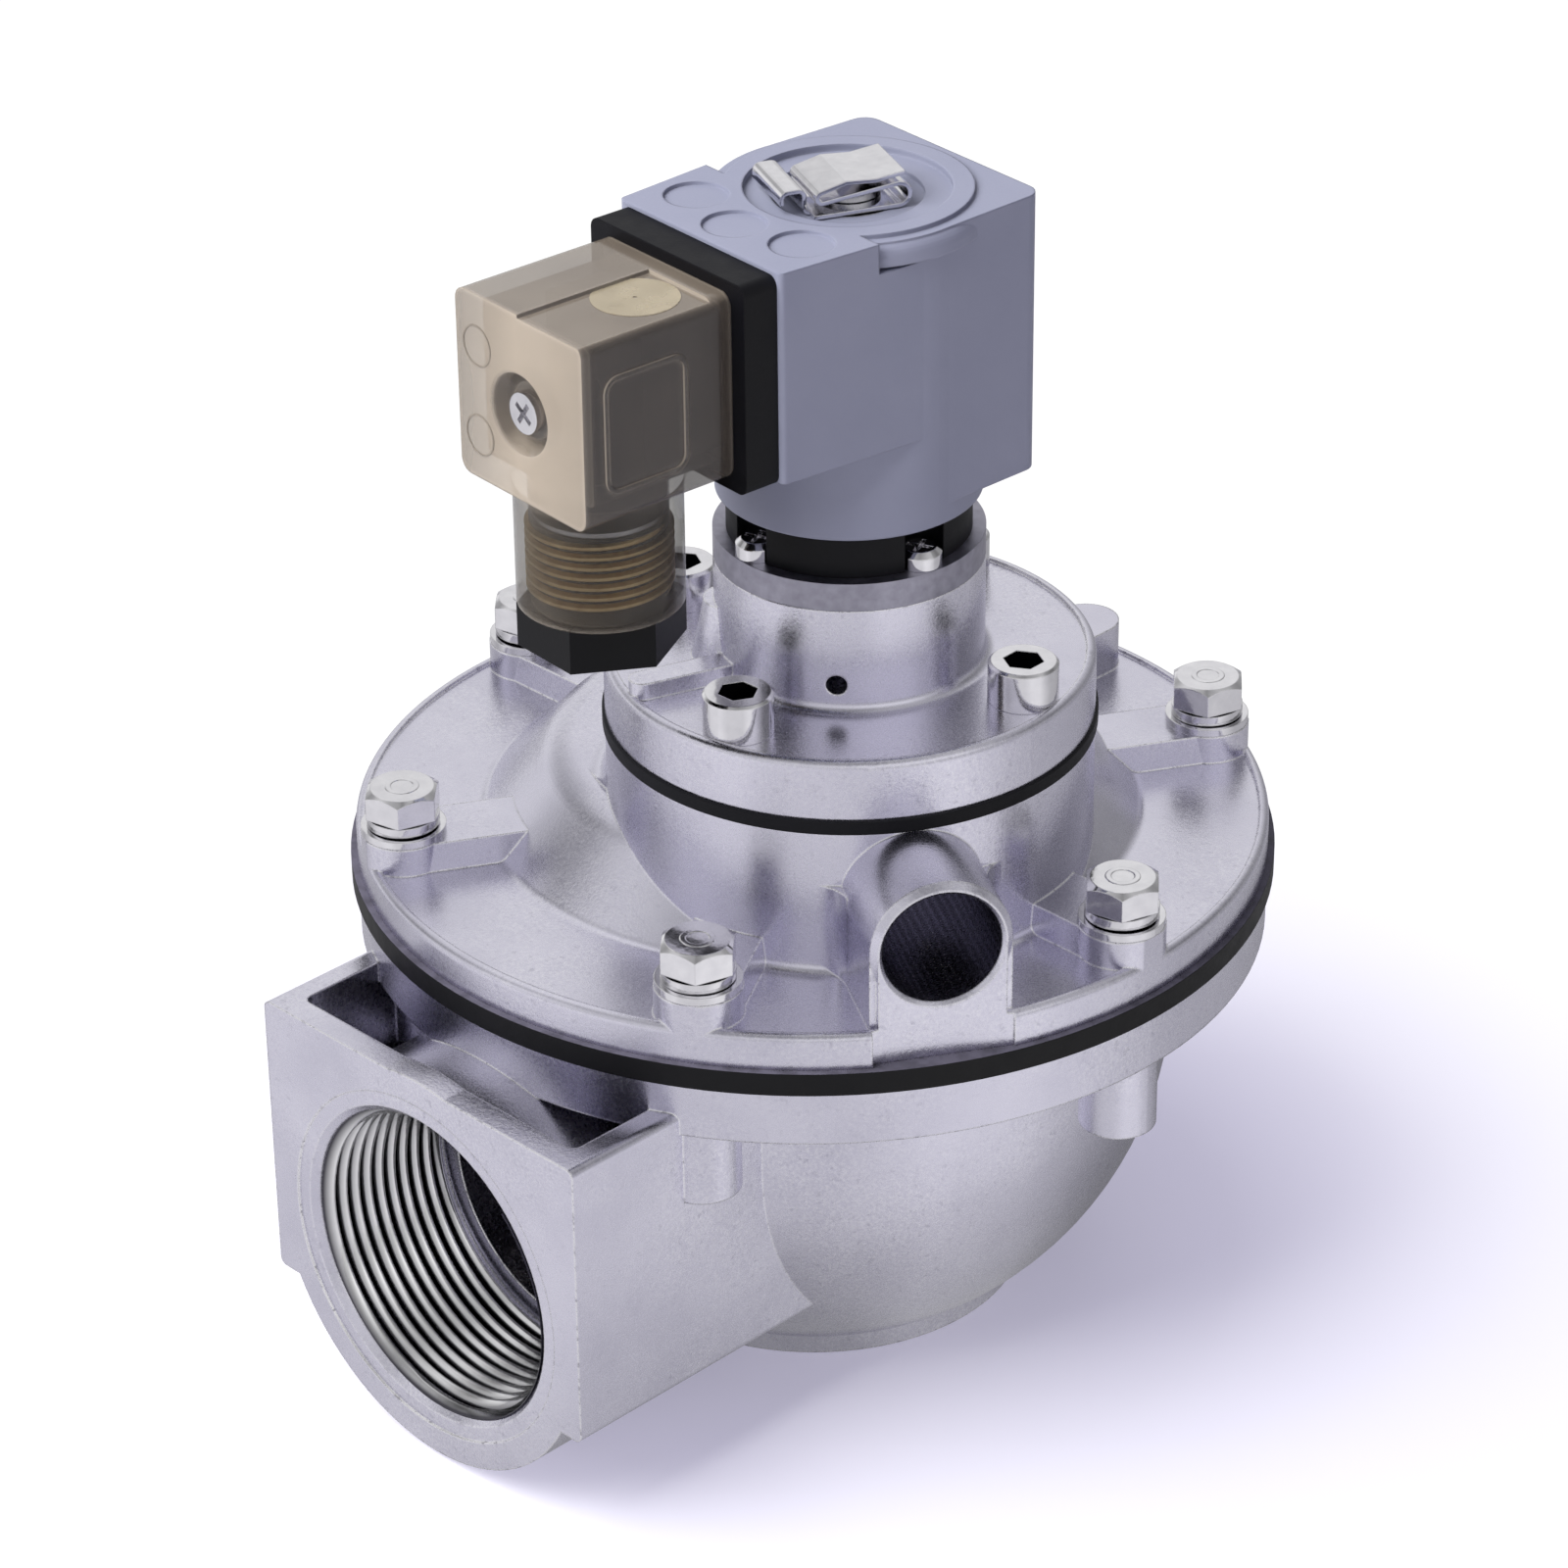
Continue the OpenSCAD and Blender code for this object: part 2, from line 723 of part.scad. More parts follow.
module pilot_seat_disc() {
    color("ivory") on_neck() tube(pilot_tube_r + 0.5, rivet_r + fit, pilot_seat_z + seat_gap, pilot_z);
}

module pilot_rivet() {
    top = cap_z + pilot_plate_t;
    foot = pilot_seat_z + seat_gap;
    color("gainsboro") on_neck() {
        post(rivet_r, foot - rivet_head_h / 2, top + rivet_head_h / 2);
        post(rivet_head_r, top, top + rivet_head_h);
        post(rivet_head_r, foot - rivet_head_h, foot);
    }
}

module pilot_spring() {
    color("gray") on_neck() spring(cap_bore_r - 2, cap_bore_r - 2, cap_z + pilot_plate_t + seat_gap,
        cap_bore_z - seat_gap, 1, 4, 6, 14);
}

module pilot_cap() {
    color("lightsteelblue") on_neck() difference() {
        union() {
            lipped_disc(neck_r, cap_z, tower_z);
            post(tower_r, tower_z - 1, ring_z);
            translate([0, 0, tower_z]) foot_fillet(tower_r, 1.5);
            cap_rib();
        }
        post(pilot_chamber_r, cap_z - 1, cap_z + cap_cavity_h);
        post(cap_bore_r, cap_z, cap_bore_z);
        post(orifice_r + fit, cap_bore_z - 1, ring_z);
        post(plunger_well_r, plunger_well_z, ring_z + 1);
        post(tube_flange_r + 0.2, tube_seat_z, ring_z + 1);
        tube(o_ring_r + 1, o_ring_r - 1, tube_seat_z - o_ring_groove_h, tube_seat_z + 1);
        polar_at(vent_well_r, vent_angle) post(vent_r, vent_z, plunger_well_z + 1);
        rotate([0, 0, vent_angle]) translate([vent_well_r, 0, vent_z]) rotate([0, 90, 0])
            cylinder(r = vent_r, h = tower_r);
        around(4, cap_screw_circle_r, cap_screw_angle) post(cap_screw_r + 0.2, cap_z - 1, tower_z + 1);
        around(4, ring_screw_circle_r, ring_screw_angle) post(ring_screw_r + fit, ring_z - 9, ring_z + 1);
    }
}

// The rib from the tower to the edge of the cap, and the round fairing on the side of the tower
module cap_rib() {
    w = 4;
    h = 2.6;
    rotate([0, 0, rib_angle]) {
        translate([tower_r - 4, -w / 2, tower_z - 1]) cube([neck_r - tower_r + 2 - w / 4, w, h + 1]);
        translate([neck_r - 2 - w / 4, 0, 0]) post(w / 2, tower_z - 1, tower_z + h);
    }
    rotate([0, 0, rib_angle - 20]) translate([tower_r - 2.5, 0, tower_z - 1])
        cylinder(r1 = 6, r2 = 4, h = 10);
}

module cap_screws() {
    top = tower_z + cap_screw_head_h;
    color("whitesmoke") on_neck() around(4, cap_screw_circle_r, cap_screw_angle) difference() {
        union() {
            post(cap_screw_r, cap_screw_end, tower_z + 1);
            post(cap_screw_head_r, tower_z, top - 0.4);
            translate([0, 0, top - 0.4])
                cylinder(r1 = cap_screw_head_r, r2 = cap_screw_head_r - 0.4, h = 0.4);
        }
        rotate([0, 0, 20]) translate([0, 0, top - 3.2]) cylinder(r = 2.9, h = 4, $fn = 6);
    }
}

module orifice_insert() {
    color("goldenrod") on_neck() difference() {
        union() {
            post(orifice_r, cap_bore_z, plunger_well_z + 0.6);
            translate([0, 0, plunger_well_z + 0.5])
                cylinder(r1 = orifice_r - 0.6, r2 = 1.6, h = orifice_z - plunger_well_z - 0.5);
        }
        post(0.8, cap_bore_z - 1, orifice_z + 1);
    }
}

module tube_o_ring() {
    color("#1c1c20") on_neck() translate([0, 0, tube_seat_z - o_ring_wire_r - fit])
        rotate_extrude() translate([o_ring_r, 0]) circle(o_ring_wire_r, $fn = 24);
}

module retainer_ring() {
    color("lightsteelblue") on_neck() difference() {
        post(tower_r, ring_z, seal_z);
        post(tube_r + 0.3, ring_z - 1, seal_z + 1);
        around(4, ring_screw_circle_r, ring_screw_angle) post(ring_screw_r + 0.2, ring_z - 1, seal_z + 1);
    }
}

module ring_screws() {
    rounding = 0.8;
    top = seal_z + ring_screw_head_h;
    color("whitesmoke") on_neck() around(4, ring_screw_circle_r, ring_screw_angle) difference() {
        union() {
            post(ring_screw_r, ring_z - 8, seal_z + 0.5);
            post(ring_screw_head_r, seal_z, top - rounding);
            translate([0, 0, top - rounding])
                cylinder(r1 = ring_screw_head_r, r2 = ring_screw_head_r - rounding, h = rounding);
        }
        for (a = [0, 90]) rotate([0, 0, a + 30]) translate([-1.9, -0.4, top - 1.4]) cube([3.8, 0.8, 3]);
    }
}

module coil_base_seal() {
    color("#18181c") on_neck() difference() {
        tube(ring_screw_circle_r + 1.3, tube_r + 0.3, seal_z, coil_z - seat_gap);
        around(4, ring_screw_circle_r, ring_screw_angle)
            post(ring_screw_head_r + 0.4, seal_z - 1, coil_z + 1);
    }
}

module armature_tube() {
    color("silver") on_neck() difference() {
        union() {
            post(tube_flange_r, tube_seat_z, ring_z);
            post(tube_r, tube_seat_z, recess_z);
            post(stub_r, recess_z - 0.5, stub_top);
        }
        post(tube_in_r, tube_seat_z - 1, core_top);
        tube(tube_r + 1, groove_r, groove_z, groove_z + groove_h);
    }
}

module fixed_core() {
    color("gray") on_neck() difference() {
        post(tube_in_r - fit, core_z, core_top);
        tube(5, 4, core_z - 1, core_z + 1.1);
    }
}

module shading_ring() {
    color("peru") on_neck() tube(4.95, 4.05, core_z, core_z + 1);
}

module plunger() {
    color("gray") on_neck() difference() {
        post(plunger_r, plunger_z, plunger_z + plunger_len);
        post(pad_r + fit, plunger_z - 1, plunger_z + pad_h);
        post(spring_bore_r, plunger_z + plunger_len - spring_bore_h, plunger_z + plunger_len + 1);
        for (a = [0, 120, 240]) rotate([0, 0, a]) translate([plunger_r - 0.8, -0.8, plunger_z - 1])
            cube([2, 1.6, plunger_len + 2]);
    }
}

module plunger_seat() {
    color("#1c1c20") on_neck() post(pad_r, orifice_z + seat_gap, plunger_z + pad_h);
}

module plunger_spring() {
    color("silver") on_neck() spring(2.4, 2.4, plunger_z + plunger_len - spring_bore_h + seat_gap,
        core_z - seat_gap, 0.6, 7, 6, 10);
}

// Round recesses on top of the coil, near the connector
module top_recesses() {
    for (i = [-1, 0, 1])
        translate([i * 11, abs(i) * 2.4 - coil_front + 6.2, coil_top - 0.5]) cylinder(r = 4.5, h = 1);
}

// Angle at which a line from a corner runs into the round body of the coil, on the given side
function touch(corner, side) =
    atan2(corner[1], corner[0]) + side * acos((coil_body_r - touch_in) / norm(corner));

// Two corners that are drawn out of the round body, to one side of the axis
module drawn_out(w, y, r) {
    corner = [w / 2, y];
    side = sign(y);
    meet = touch(corner, -side);
    root = (coil_body_r - touch_in) * [cos(meet), sin(meet)];
    middle = [corner[0] - r, y - side * r];
    outer = arc(middle, r, meet, side * 90, 6);
    half = concat([root], outer);
    polygon(concat(half, [for (i = [len(half) - 1 : -1 : 0]) [-half[i][0], half[i][1]]]));
}

// Half section of the round shoulder under the top of the coil
module shoulder_section() {
    r = 2;
    top = coil_top - back_drop;
    polygon(concat(
        [[0, top - shoulder_h], [coil_body_r - 1, top - shoulder_h - 1], [shoulder_r, top - shoulder_h]],
        arc([shoulder_r - r, top - r], r, 0, 90, 6),
        [[0, top]]
    ));
}

module coil_housing() {
    color("#74788c") on_coil() difference() {
        union() {
            post(coil_body_r, coil_z, coil_top - back_drop);
            translate([0, 0, coil_z + back_lift])
                linear_extrude(coil_top - back_drop - coil_z - back_lift)
                    drawn_out(coil_back_w, coil_back, 2.5);
            difference() {
                translate([0, 0, block_z]) linear_extrude(coil_h) drawn_out(coil_w, -coil_front, 0.8);
                translate([-coil_w, shoulder_y, coil_top - back_drop - shoulder_h - 0.5])
                    cube([2 * coil_w, -shoulder_y + 1, shoulder_h + 2]);
            }
            rotate_extrude() shoulder_section();
            post(ring_edge_r, coil_top - 1, coil_top);
        }
        post(coil_bore_r, coil_z - 1, coil_top + 1);
        post(coil_cavity_r, coil_cavity_z, coil_cavity_z + coil_cavity_h);
        post(dish_r, dish_z, coil_top + 1);
        post(recess_r, recess_z, coil_top + 1);
        top_recesses();
        bar_y(screw_r + fit, gasket_y - 1, gasket_y + 6, plug_screw_z);
        for (s = [-1, 1]) blade_slot(s, 0);
    }
}

// Space for one blade in the face of the coil, with clearance c
module blade_slot(s, c) {
    translate([-blade_w / 2 - c, gasket_y - blade_len, plug_mid_z + s * blade_pitch / 2 - blade_t / 2 - c])
        cube([blade_w + 2 * c, blade_len + 3, blade_t + 2 * c]);
}

module coil_winding() {
    color("sandybrown") on_coil() tube(bobbin_r - 0.6, tube_r + 1.5, coil_cavity_z + yoke_t + 1.8,
        coil_cavity_z + coil_cavity_h - yoke_t - 1.8);
}

module coil_bobbin() {
    z0 = coil_cavity_z + yoke_t + 0.1;
    z1 = coil_cavity_z + coil_cavity_h - yoke_t - 0.1;
    color("#d8d2c0") on_coil() difference() {
        union() {
            post(bobbin_r, z0, z0 + 1.5);
            post(tube_r + 1.3, z0, z1);
            post(bobbin_r, z1 - 1.5, z1);
        }
        post(coil_bore_r, z0 - 1, z1 + 1);
    }
}

module yoke_plates() {
    top = coil_cavity_z + coil_cavity_h;
    color("dimgray") on_coil() {
        tube(yoke_r, coil_bore_r, coil_cavity_z, coil_cavity_z + yoke_t);
        tube(yoke_r, coil_bore_r, top - yoke_t, top);
    }
}

module terminal_blades() {
    color("khaki") on_coil() for (s = [-1, 1])
        translate([-blade_w / 2, gasket_y - blade_len, plug_mid_z + s * blade_pitch / 2 - blade_t / 2])
            cube([blade_w, blade_len + 3, blade_t]);
}

module connector_gasket() {
    color("#18181c") on_coil() difference() {
        face_box(plug_w + 5.4, plug_h + 3.4, plug_y, gasket_y, plug_z - 1.7, 1.6);
        face_box(plug_w - 5, plug_h - 5, plug_y - 1, gasket_y + 1, plug_z + 2.5, 1);
    }
}

module plug_housing() {
    color("#8f8a78") on_coil() difference() {
        union() {
            face_box(plug_w, plug_h, plug_face, plug_y, plug_z, 2);
            translate([0, gland_y, 0]) post(gland_r, gland_z, plug_z + 4);
            side_frame();
        }
        face_box(plug_w - 2 * plug_wall, plug_h - 2 * plug_wall, plug_face + 3, plug_y + 1,
            plug_z + plug_wall, 1);
        translate([0, gland_y, 0]) post(gland_bore_r, gland_z - 1, plug_z + plug_wall + 1);
        translate([0, plug_face + screw_well_h, plug_screw_z]) rotate([90, 0, 0])
            cylinder(r1 = screw_head_r + 1.1, r2 = screw_head_r + 2.9, h = screw_well_h + eps);
        translate([0, plug_face - 1, plug_top - top_step]) cube([plug_w, plug_d - 2, top_step + 1]);
        bar_y(screw_r + 0.3, plug_face - 1, plug_face + 5, plug_screw_z);
    }
}

// A raised frame with round corners on the side of the plug
module side_frame() {
    w = 14;
    h = 17;
    translate([plug_w / 2 - 0.5, plug_face + 3.4 + w / 2, plug_z + 4.4 + h / 2])
        rotate([90, 0, 90]) linear_extrude(0.85) difference() {
            round_rect(w, h, 2.4);
            round_rect(w - 1.4, h - 1.4, 1.7);
        }
}

module terminal_block() {
    back = plug_y + 0.5;
    color("#2a2a30") on_coil() difference() {
        face_box(insert_w, insert_w, back - insert_d, back, plug_mid_z - insert_w / 2, 1);
        for (s = [-1, 1]) blade_slot(s, 0.1);
        bar_y(screw_r + 0.3, back - insert_d - 1, back + 1, plug_screw_z);
    }
}

module plug_screw() {
    head_y = plug_face + screw_well_h;
    color("whitesmoke") on_coil() difference() {
        union() {
            bar_y(screw_head_r, head_y - 1.6, head_y, plug_screw_z);
            bar_y(screw_r, head_y - 0.5, gasket_y + 5, plug_screw_z);
        }
        for (a = [0, 90]) translate([0, head_y - 1.2, plug_screw_z]) rotate([0, a + 35, 0])
            cube([3.6, 1.6, 0.7], center = true);
    }
}

module gland_washer() {
    z = gland_z + gland_thread_h;
    color("silver") on_coil() translate([0, gland_y, 0]) tube(gland_bore_r - 0.3, cable_r + 0.6, z, z + 0.8);
}

module gland_seal() {
    z = gland_z + gland_thread_h + 0.8;
    color("#1c1c20") on_coil() translate([0, gland_y, 0])
        tube(gland_bore_r - 0.3, cable_r + 0.4, z, z + gland_seal_h);
}

module gland_nut() {
    color("#18181c") on_coil() translate([0, gland_y, 0]) difference() {
        union() {
            translate([0, 0, gland_z - nut_head_h]) cylinder(r = nut_corner_r, h = nut_head_h, $fn = 6);
            post(gland_bore_r - fit, gland_z - 1, gland_z + gland_thread_h);
        }
        post(cable_r, gland_z - nut_head_h - 1, gland_z + gland_thread_h + 1);
    }
}

// Points beside a bent line, at distance d to its left
function beside(line, d) = [
    for (i = [0 : len(line) - 1])
        let (step = line[min(i + 1, len(line) - 1)] - line[max(i - 1, 0)])
        line[i] + d * [-step[1], step[0]] / norm(step)
];

// A sheet of thickness t bent along a line of [y, z] points, from x0 to x1
module bent_sheet(line, t, x0, x1) {
    back = beside(line, -t / 2);
    translate([x0, 0, 0]) rotate([90, 0, 90]) linear_extrude(x1 - x0)
        polygon(concat(beside(line, t / 2), [for (i = [len(back) - 1 : -1 : 0]) back[i]]));
}

// A spring clip of one folded strip that grips the groove of the tube, with a raised bar to pull it off
module retaining_clip() {
    leaf = groove_z + 0.1 + clip_t / 2;
    fold_r = 1.6;
    turn_r = 0.8;
    fold_y = 5;
    folds = concat(
        [[-7.2, leaf]],
        arc([fold_y, leaf + fold_r], fold_r, -90, 90, 8),
        arc([-6, leaf + 2 * fold_r - 0.5], turn_r, 270, 90, 6),
        [[-2.6, leaf + 4.4], [1.6, leaf + 4.1], [fold_y + 0.8, leaf + 4.7]]
    );
    bar = concat(
        [[3.5, leaf]],
        arc([-7, leaf + 0.9], 0.9, 270, 180, 4),
        arc([-8.7, leaf + 2.5], 0.8, 0, 90, 4),
        arc([-10.3, leaf + 2.5], 0.8, 90, 180, 4),
        [[-11.1, leaf + 1.6]]
    );
    color("whitesmoke") on_coil() rotate([0, 0, clip_turn]) difference() {
        union() {
            bent_sheet(folds, clip_t, -clip_w / 2 + 3, clip_w / 2);
            bent_sheet(bar, clip_t, -clip_w / 2, clip_w / 2 - 2);
        }
        post(groove_r + fit, recess_z, groove_z + groove_h);
        translate([-clip_w, -groove_r - fit, recess_z])
            cube([clip_w, 2 * (groove_r + fit), stub_top - recess_z]);
    }
}

valve_body();
main_diaphragm();
main_plate();
main_seat_pad();
main_centre_bolt();
main_centre_nut();
main_spring();
bonnet();
flange_bolts();
flange_spring_washers();
flange_washers();
pilot_diaphragm();
pilot_plate();
pilot_seat_disc();
pilot_rivet();
pilot_spring();
pilot_cap();
cap_screws();
orifice_insert();
tube_o_ring();
retainer_ring();
ring_screws();
coil_base_seal();
armature_tube();
fixed_core();
shading_ring();
plunger();
plunger_seat();
plunger_spring();
coil_housing();
coil_winding();
coil_bobbin();
yoke_plates();
terminal_blades();
connector_gasket();
plug_housing();
terminal_block();
plug_screw();
gland_washer();
gland_seal();
gland_nut();
retaining_clip();
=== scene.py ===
"""Looks of a right angle diaphragm valve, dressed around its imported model.

Lengths are in metres. The outlet faces down on z = 0 and the inlet faces -Y.
"""

import math

import bmesh
import bpy
from mathutils import Matrix, Vector
from mathutils.geometry import tessellate_polygon


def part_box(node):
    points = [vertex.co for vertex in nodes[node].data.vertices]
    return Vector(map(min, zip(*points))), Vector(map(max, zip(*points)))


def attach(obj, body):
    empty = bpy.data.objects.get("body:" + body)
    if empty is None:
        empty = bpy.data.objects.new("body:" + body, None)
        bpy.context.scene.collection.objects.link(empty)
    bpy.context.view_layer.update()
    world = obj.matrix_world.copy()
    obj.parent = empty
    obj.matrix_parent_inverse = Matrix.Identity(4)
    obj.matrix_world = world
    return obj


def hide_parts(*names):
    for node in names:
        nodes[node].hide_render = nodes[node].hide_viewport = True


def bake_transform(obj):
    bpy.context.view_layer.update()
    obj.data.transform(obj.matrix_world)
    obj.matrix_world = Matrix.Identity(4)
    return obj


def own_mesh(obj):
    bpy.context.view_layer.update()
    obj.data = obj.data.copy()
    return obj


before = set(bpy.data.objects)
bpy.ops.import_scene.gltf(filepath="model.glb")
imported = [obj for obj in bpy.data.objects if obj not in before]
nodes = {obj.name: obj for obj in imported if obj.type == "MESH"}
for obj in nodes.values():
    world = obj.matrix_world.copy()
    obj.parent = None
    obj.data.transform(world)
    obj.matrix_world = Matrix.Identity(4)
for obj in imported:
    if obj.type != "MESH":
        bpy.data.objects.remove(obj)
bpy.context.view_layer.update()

MM = 0.001
EAST = Vector((1, 0, 0))
NORTH = Vector((0, 1, 0))
UP = Vector((0, 0, 1))
ORIGIN = Vector((0, 0, 0))


# Places on the valve

def centre(node):
    """Middle of a node's box."""
    low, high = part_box(node)
    return (low + high) / 2


def ray(angle):
    """Level direction at an angle from east."""
    return Vector((math.cos(angle), math.sin(angle), 0))


NECK = centre("armature_tube")
GLAND = centre("gland_nut")
PLUG_SCREW = centre("plug_screw")

INLET_FACE_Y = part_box("valve_body")[0].y
INLET_Z = 32.2 * MM
PORT_ROOT_R = 23.9 * MM
PORT_CREST_R = 22.5 * MM
PORT_PITCH = 2.309 * MM
PORT_THREAD_LENGTH = 23 * MM

EXHAUST_TURN = math.radians(-31)
EXHAUST_R = 8.45 * MM
EXHAUST_Z = 88.75 * MM
EXHAUST_REACH = 50.3 * MM

BOLTS = [ray(math.radians(60 * i)) * (61.0 * MM) for i in range(6)]
BOLT_HOLE_R = 3.4 * MM
CAP_SCREW_TURNS = [math.radians(12 + 90 * i) for i in range(4)]
CAP_SCREWS = [Vector((NECK.x, NECK.y, 0)) + ray(turn) * (28.6 * MM) for turn in CAP_SCREW_TURNS]
CAP_SCREW_HOLE_R = 3.3 * MM

COIL_TURN = math.radians(-4.8)
PLUG_FACE = -56.7 * MM


def on_coil(across, out, height):
    """A place in the turned frame of the coil, measured from the tube's axis."""
    point = Matrix.Rotation(COIL_TURN, 3, "Z") @ Vector((across, out, 0))
    return Vector((NECK.x + point.x, NECK.y + point.y, height))


# Shader maths

class Wire:
    """One output of a material's nodes, on which Python sums add Math nodes."""

    def __init__(self, finish, socket):
        self.finish = finish
        self.socket = socket

    def maths(self, operation, first, second):
        return self.finish.node("ShaderNodeMath", {"operation": operation}, {0: first, 1: second})

    def __add__(self, other):
        return self.maths("ADD", self, other)

    def __radd__(self, other):
        return self.maths("ADD", other, self)

    def __sub__(self, other):
        return self.maths("SUBTRACT", self, other)

    def __rsub__(self, other):
        return self.maths("SUBTRACT", other, self)

    def __mul__(self, other):
        return self.maths("MULTIPLY", self, other)

    def __rmul__(self, other):
        return self.maths("MULTIPLY", other, self)

    def __pow__(self, other):
        return self.maths("POWER", self, other)


class Finish:
    """A material, its Principled shader and the nodes that vary it."""

    def __init__(self, name, **constants):
        self.material = bpy.data.materials.new(name)
        self.material.use_nodes = True
        self.tree = self.material.node_tree
        self.shader = self.tree.nodes["Principled BSDF"]
        for socket, value in constants.items():
            self.shader.inputs[socket.replace("_", " ")].default_value = value

    def node(self, kind, settings, sockets, output=0):
        """Adds a node, sets it up, feeds its sockets and gives one of its outputs."""
        made = self.tree.nodes.new(kind)
        stops = settings.pop("stops", None)
        for name, value in settings.items():
            setattr(made, name, value)
        if stops:
            ramp = made.color_ramp
            while len(ramp.elements) < len(stops):
                ramp.elements.new(0.5)
            for element, (place, colour) in zip(ramp.elements, stops):
                element.position = place
                element.color = colour
        for name, value in sockets.items():
            self.feed(made.inputs[name], value)
        return Wire(self, made.outputs[output])

    def feed(self, socket, value):
        if isinstance(value, Wire):
            self.tree.links.new(value.socket, socket)
        else:
            socket.default_value = value

    def place(self):
        """Where a point of the surface lies, in the piece's own frame."""
        return self.node("ShaderNodeTexCoord", {}, {}, "Object")

    def normal(self):
        """The way the surface faces."""
        return self.node("ShaderNodeNewGeometry", {}, {}, "Normal")

    def softened_normal(self, width):
        """The way the surface faces, with its edges rounded over a width."""
        return self.node("ShaderNodeBevel", {"samples": 6}, {"Radius": width})

    def axes(self, point):
        """The three parts of a point."""
        return [self.node("ShaderNodeSeparateXYZ", {}, {0: point}, part) for part in range(3)]

    def noise(self, size, detail=2.0, rough=0.5):
        """Soft noise from 0 to 1 whose lumps are about as wide as size."""
        return self.node("ShaderNodeTexNoise", {}, {
            "Vector": self.place(), "Scale": 1 / size, "Detail": detail, "Roughness": rough}, "Fac")

    def steps(self, value, *stops):
        """Grey levels from a value, as a ramp with the given (place, level) stops."""
        grey = [(at, (level, level, level, 1)) for at, level in stops]
        return self.node("ShaderNodeValToRGB", {"stops": grey}, {"Fac": value}, "Color")

    def mix(self, share, first, second):
        """Colour between first and second."""
        sockets = {0: share, 6: first, 7: second}
        return self.node("ShaderNodeMix", {"data_type": "RGBA"}, sockets, 2)

    def compass(self, east, north, *levels):
        """Grey levels by direction round the valve, as (degrees from east, level) pairs."""
        turn = self.node("ShaderNodeMath", {"operation": "ARCTAN2"}, {0: north, 1: east})
        stops = [(at / 360 + 0.5, level) for at, level in levels]
        return self.steps(turn * (1 / math.tau) + 0.5, *stops)

    def edges(self, width):
        """1 along the edges of a piece, and 0 a width away from them."""
        sockets = {0: self.softened_normal(width), 1: self.normal()}
        alike = self.node(
            "ShaderNodeVectorMath", {"operation": "DOT_PRODUCT"}, sockets, "Value")
        return self.steps(alike, (0.8, 1.0), (0.985, 0.0))

    def light_path(self, kind):
        """1 for a kind of ray, and 0 for the others."""
        return self.node("ShaderNodeLightPath", {}, {}, kind)

    def colour(self, value):
        self.feed(self.shader.inputs["Base Color"], value)

    def roughness(self, value):
        self.feed(self.shader.inputs["Roughness"], value)

    def alpha(self, value):
        self.feed(self.shader.inputs["Alpha"], value)

    def relief(self, height, depth, strength=1.0, edge=0.0):
        """Bumps the surface by depth where height goes from 0 to 1, with softened edges."""
        sockets = {"Height": height, "Distance": depth, "Strength": strength}
        if edge:
            sockets["Normal"] = self.softened_normal(edge)
        self.feed(self.shader.inputs["Normal"], self.node("ShaderNodeBump", {}, sockets))


def rgb(red, green, blue):
    """A display colour from 0 to 255 as the linear colour that a shader takes."""
    def linear(level):
        share = level / 255
        return share / 12.92 if share <= 0.04045 else ((share + 0.055) / 1.055) ** 2.4
    return (linear(red), linear(green), linear(blue), 1.0)


# Finishes

def cast_aluminium():
    """Tumbled die cast aluminium: a sandy grain, cloudy patches and edges painted near white as a
    painted highlight.
    """
    metal = Finish("cast_aluminium", Metallic=1.0)
    cloud = metal.noise(14 * MM, 4.0, 0.6)
    grain = metal.noise(0.5 * MM, 3.0, 0.6)
    sand = metal.noise(1.3 * MM, 3.0, 0.7)
    coarse = metal.steps(metal.noise(24 * MM, 2.0), (0.38, 0.25), (0.62, 1.0))
    glints = metal.steps(grain, (0.42, 0.0), (0.7, 0.5)) * coarse
    pits = metal.steps(sand, (0.3, 0.3), (0.42, 0.0)) * coarse
    highlit_edges = metal.edges(0.6 * MM)
    broken = metal.steps(sand, (0.38, 1.0), (0.44, 0.0))
    tone = metal.mix(cloud, rgb(198, 196, 212), rgb(232, 230, 243))
    tone = metal.mix(glints, tone, rgb(250, 249, 255))
    tone = metal.mix(pits, tone, rgb(140, 138, 154))
    # Painted highlight: the edges are painted near white, as if they catch the light.
    tone = metal.mix(highlit_edges, tone, rgb(254, 253, 255))
    tone = metal.mix(highlit_edges * broken * 0.6, tone, rgb(92, 88, 104))
    # Painted shade: the inside of the exhaust bore is painted dark.
    metal.colour(metal.mix(shaded_exhaust_bore(metal) * 0.82, tone, rgb(64, 62, 78)))
    metal.roughness(0.14 + cloud * 0.1 + grain * 0.16)
    metal.relief((grain * 0.6 + sand * 0.4) * coarse, 0.075 * MM, 0.8, 0.5 * MM)
    return metal.material


def shaded_exhaust_bore(metal):
    """1 inside the bore of the exhaust port, which is painted dark as painted shade, and 0
    elsewhere.
    """
    out = ray(EXHAUST_TURN)
    across = Vector((-out.y, out.x, 0))
    east, north, height = metal.axes(metal.place())
    reach = (east - NECK.x) * out.x + (north - NECK.y) * out.y
    aside = (east - NECK.x) * across.x + (north - NECK.y) * across.y
    lift = height - EXHAUST_Z
    spread = (aside * aside + lift * lift) ** 0.5
    inside = metal.steps(spread * (1 / EXHAUST_R), (0.5, 1.0), (1.0, 1.0), (1.0, 0.0))
    # The port's mouth is at 1 and the neck's axis at 0.5. The far side of the neck gets no painted
    # shade.
    along = reach * (0.5 / EXHAUST_REACH) + 0.5
    return inside * metal.steps(along, (0.2, 0.0), (0.24, 1.0), (0.965, 1.0), (0.995, 0.25))


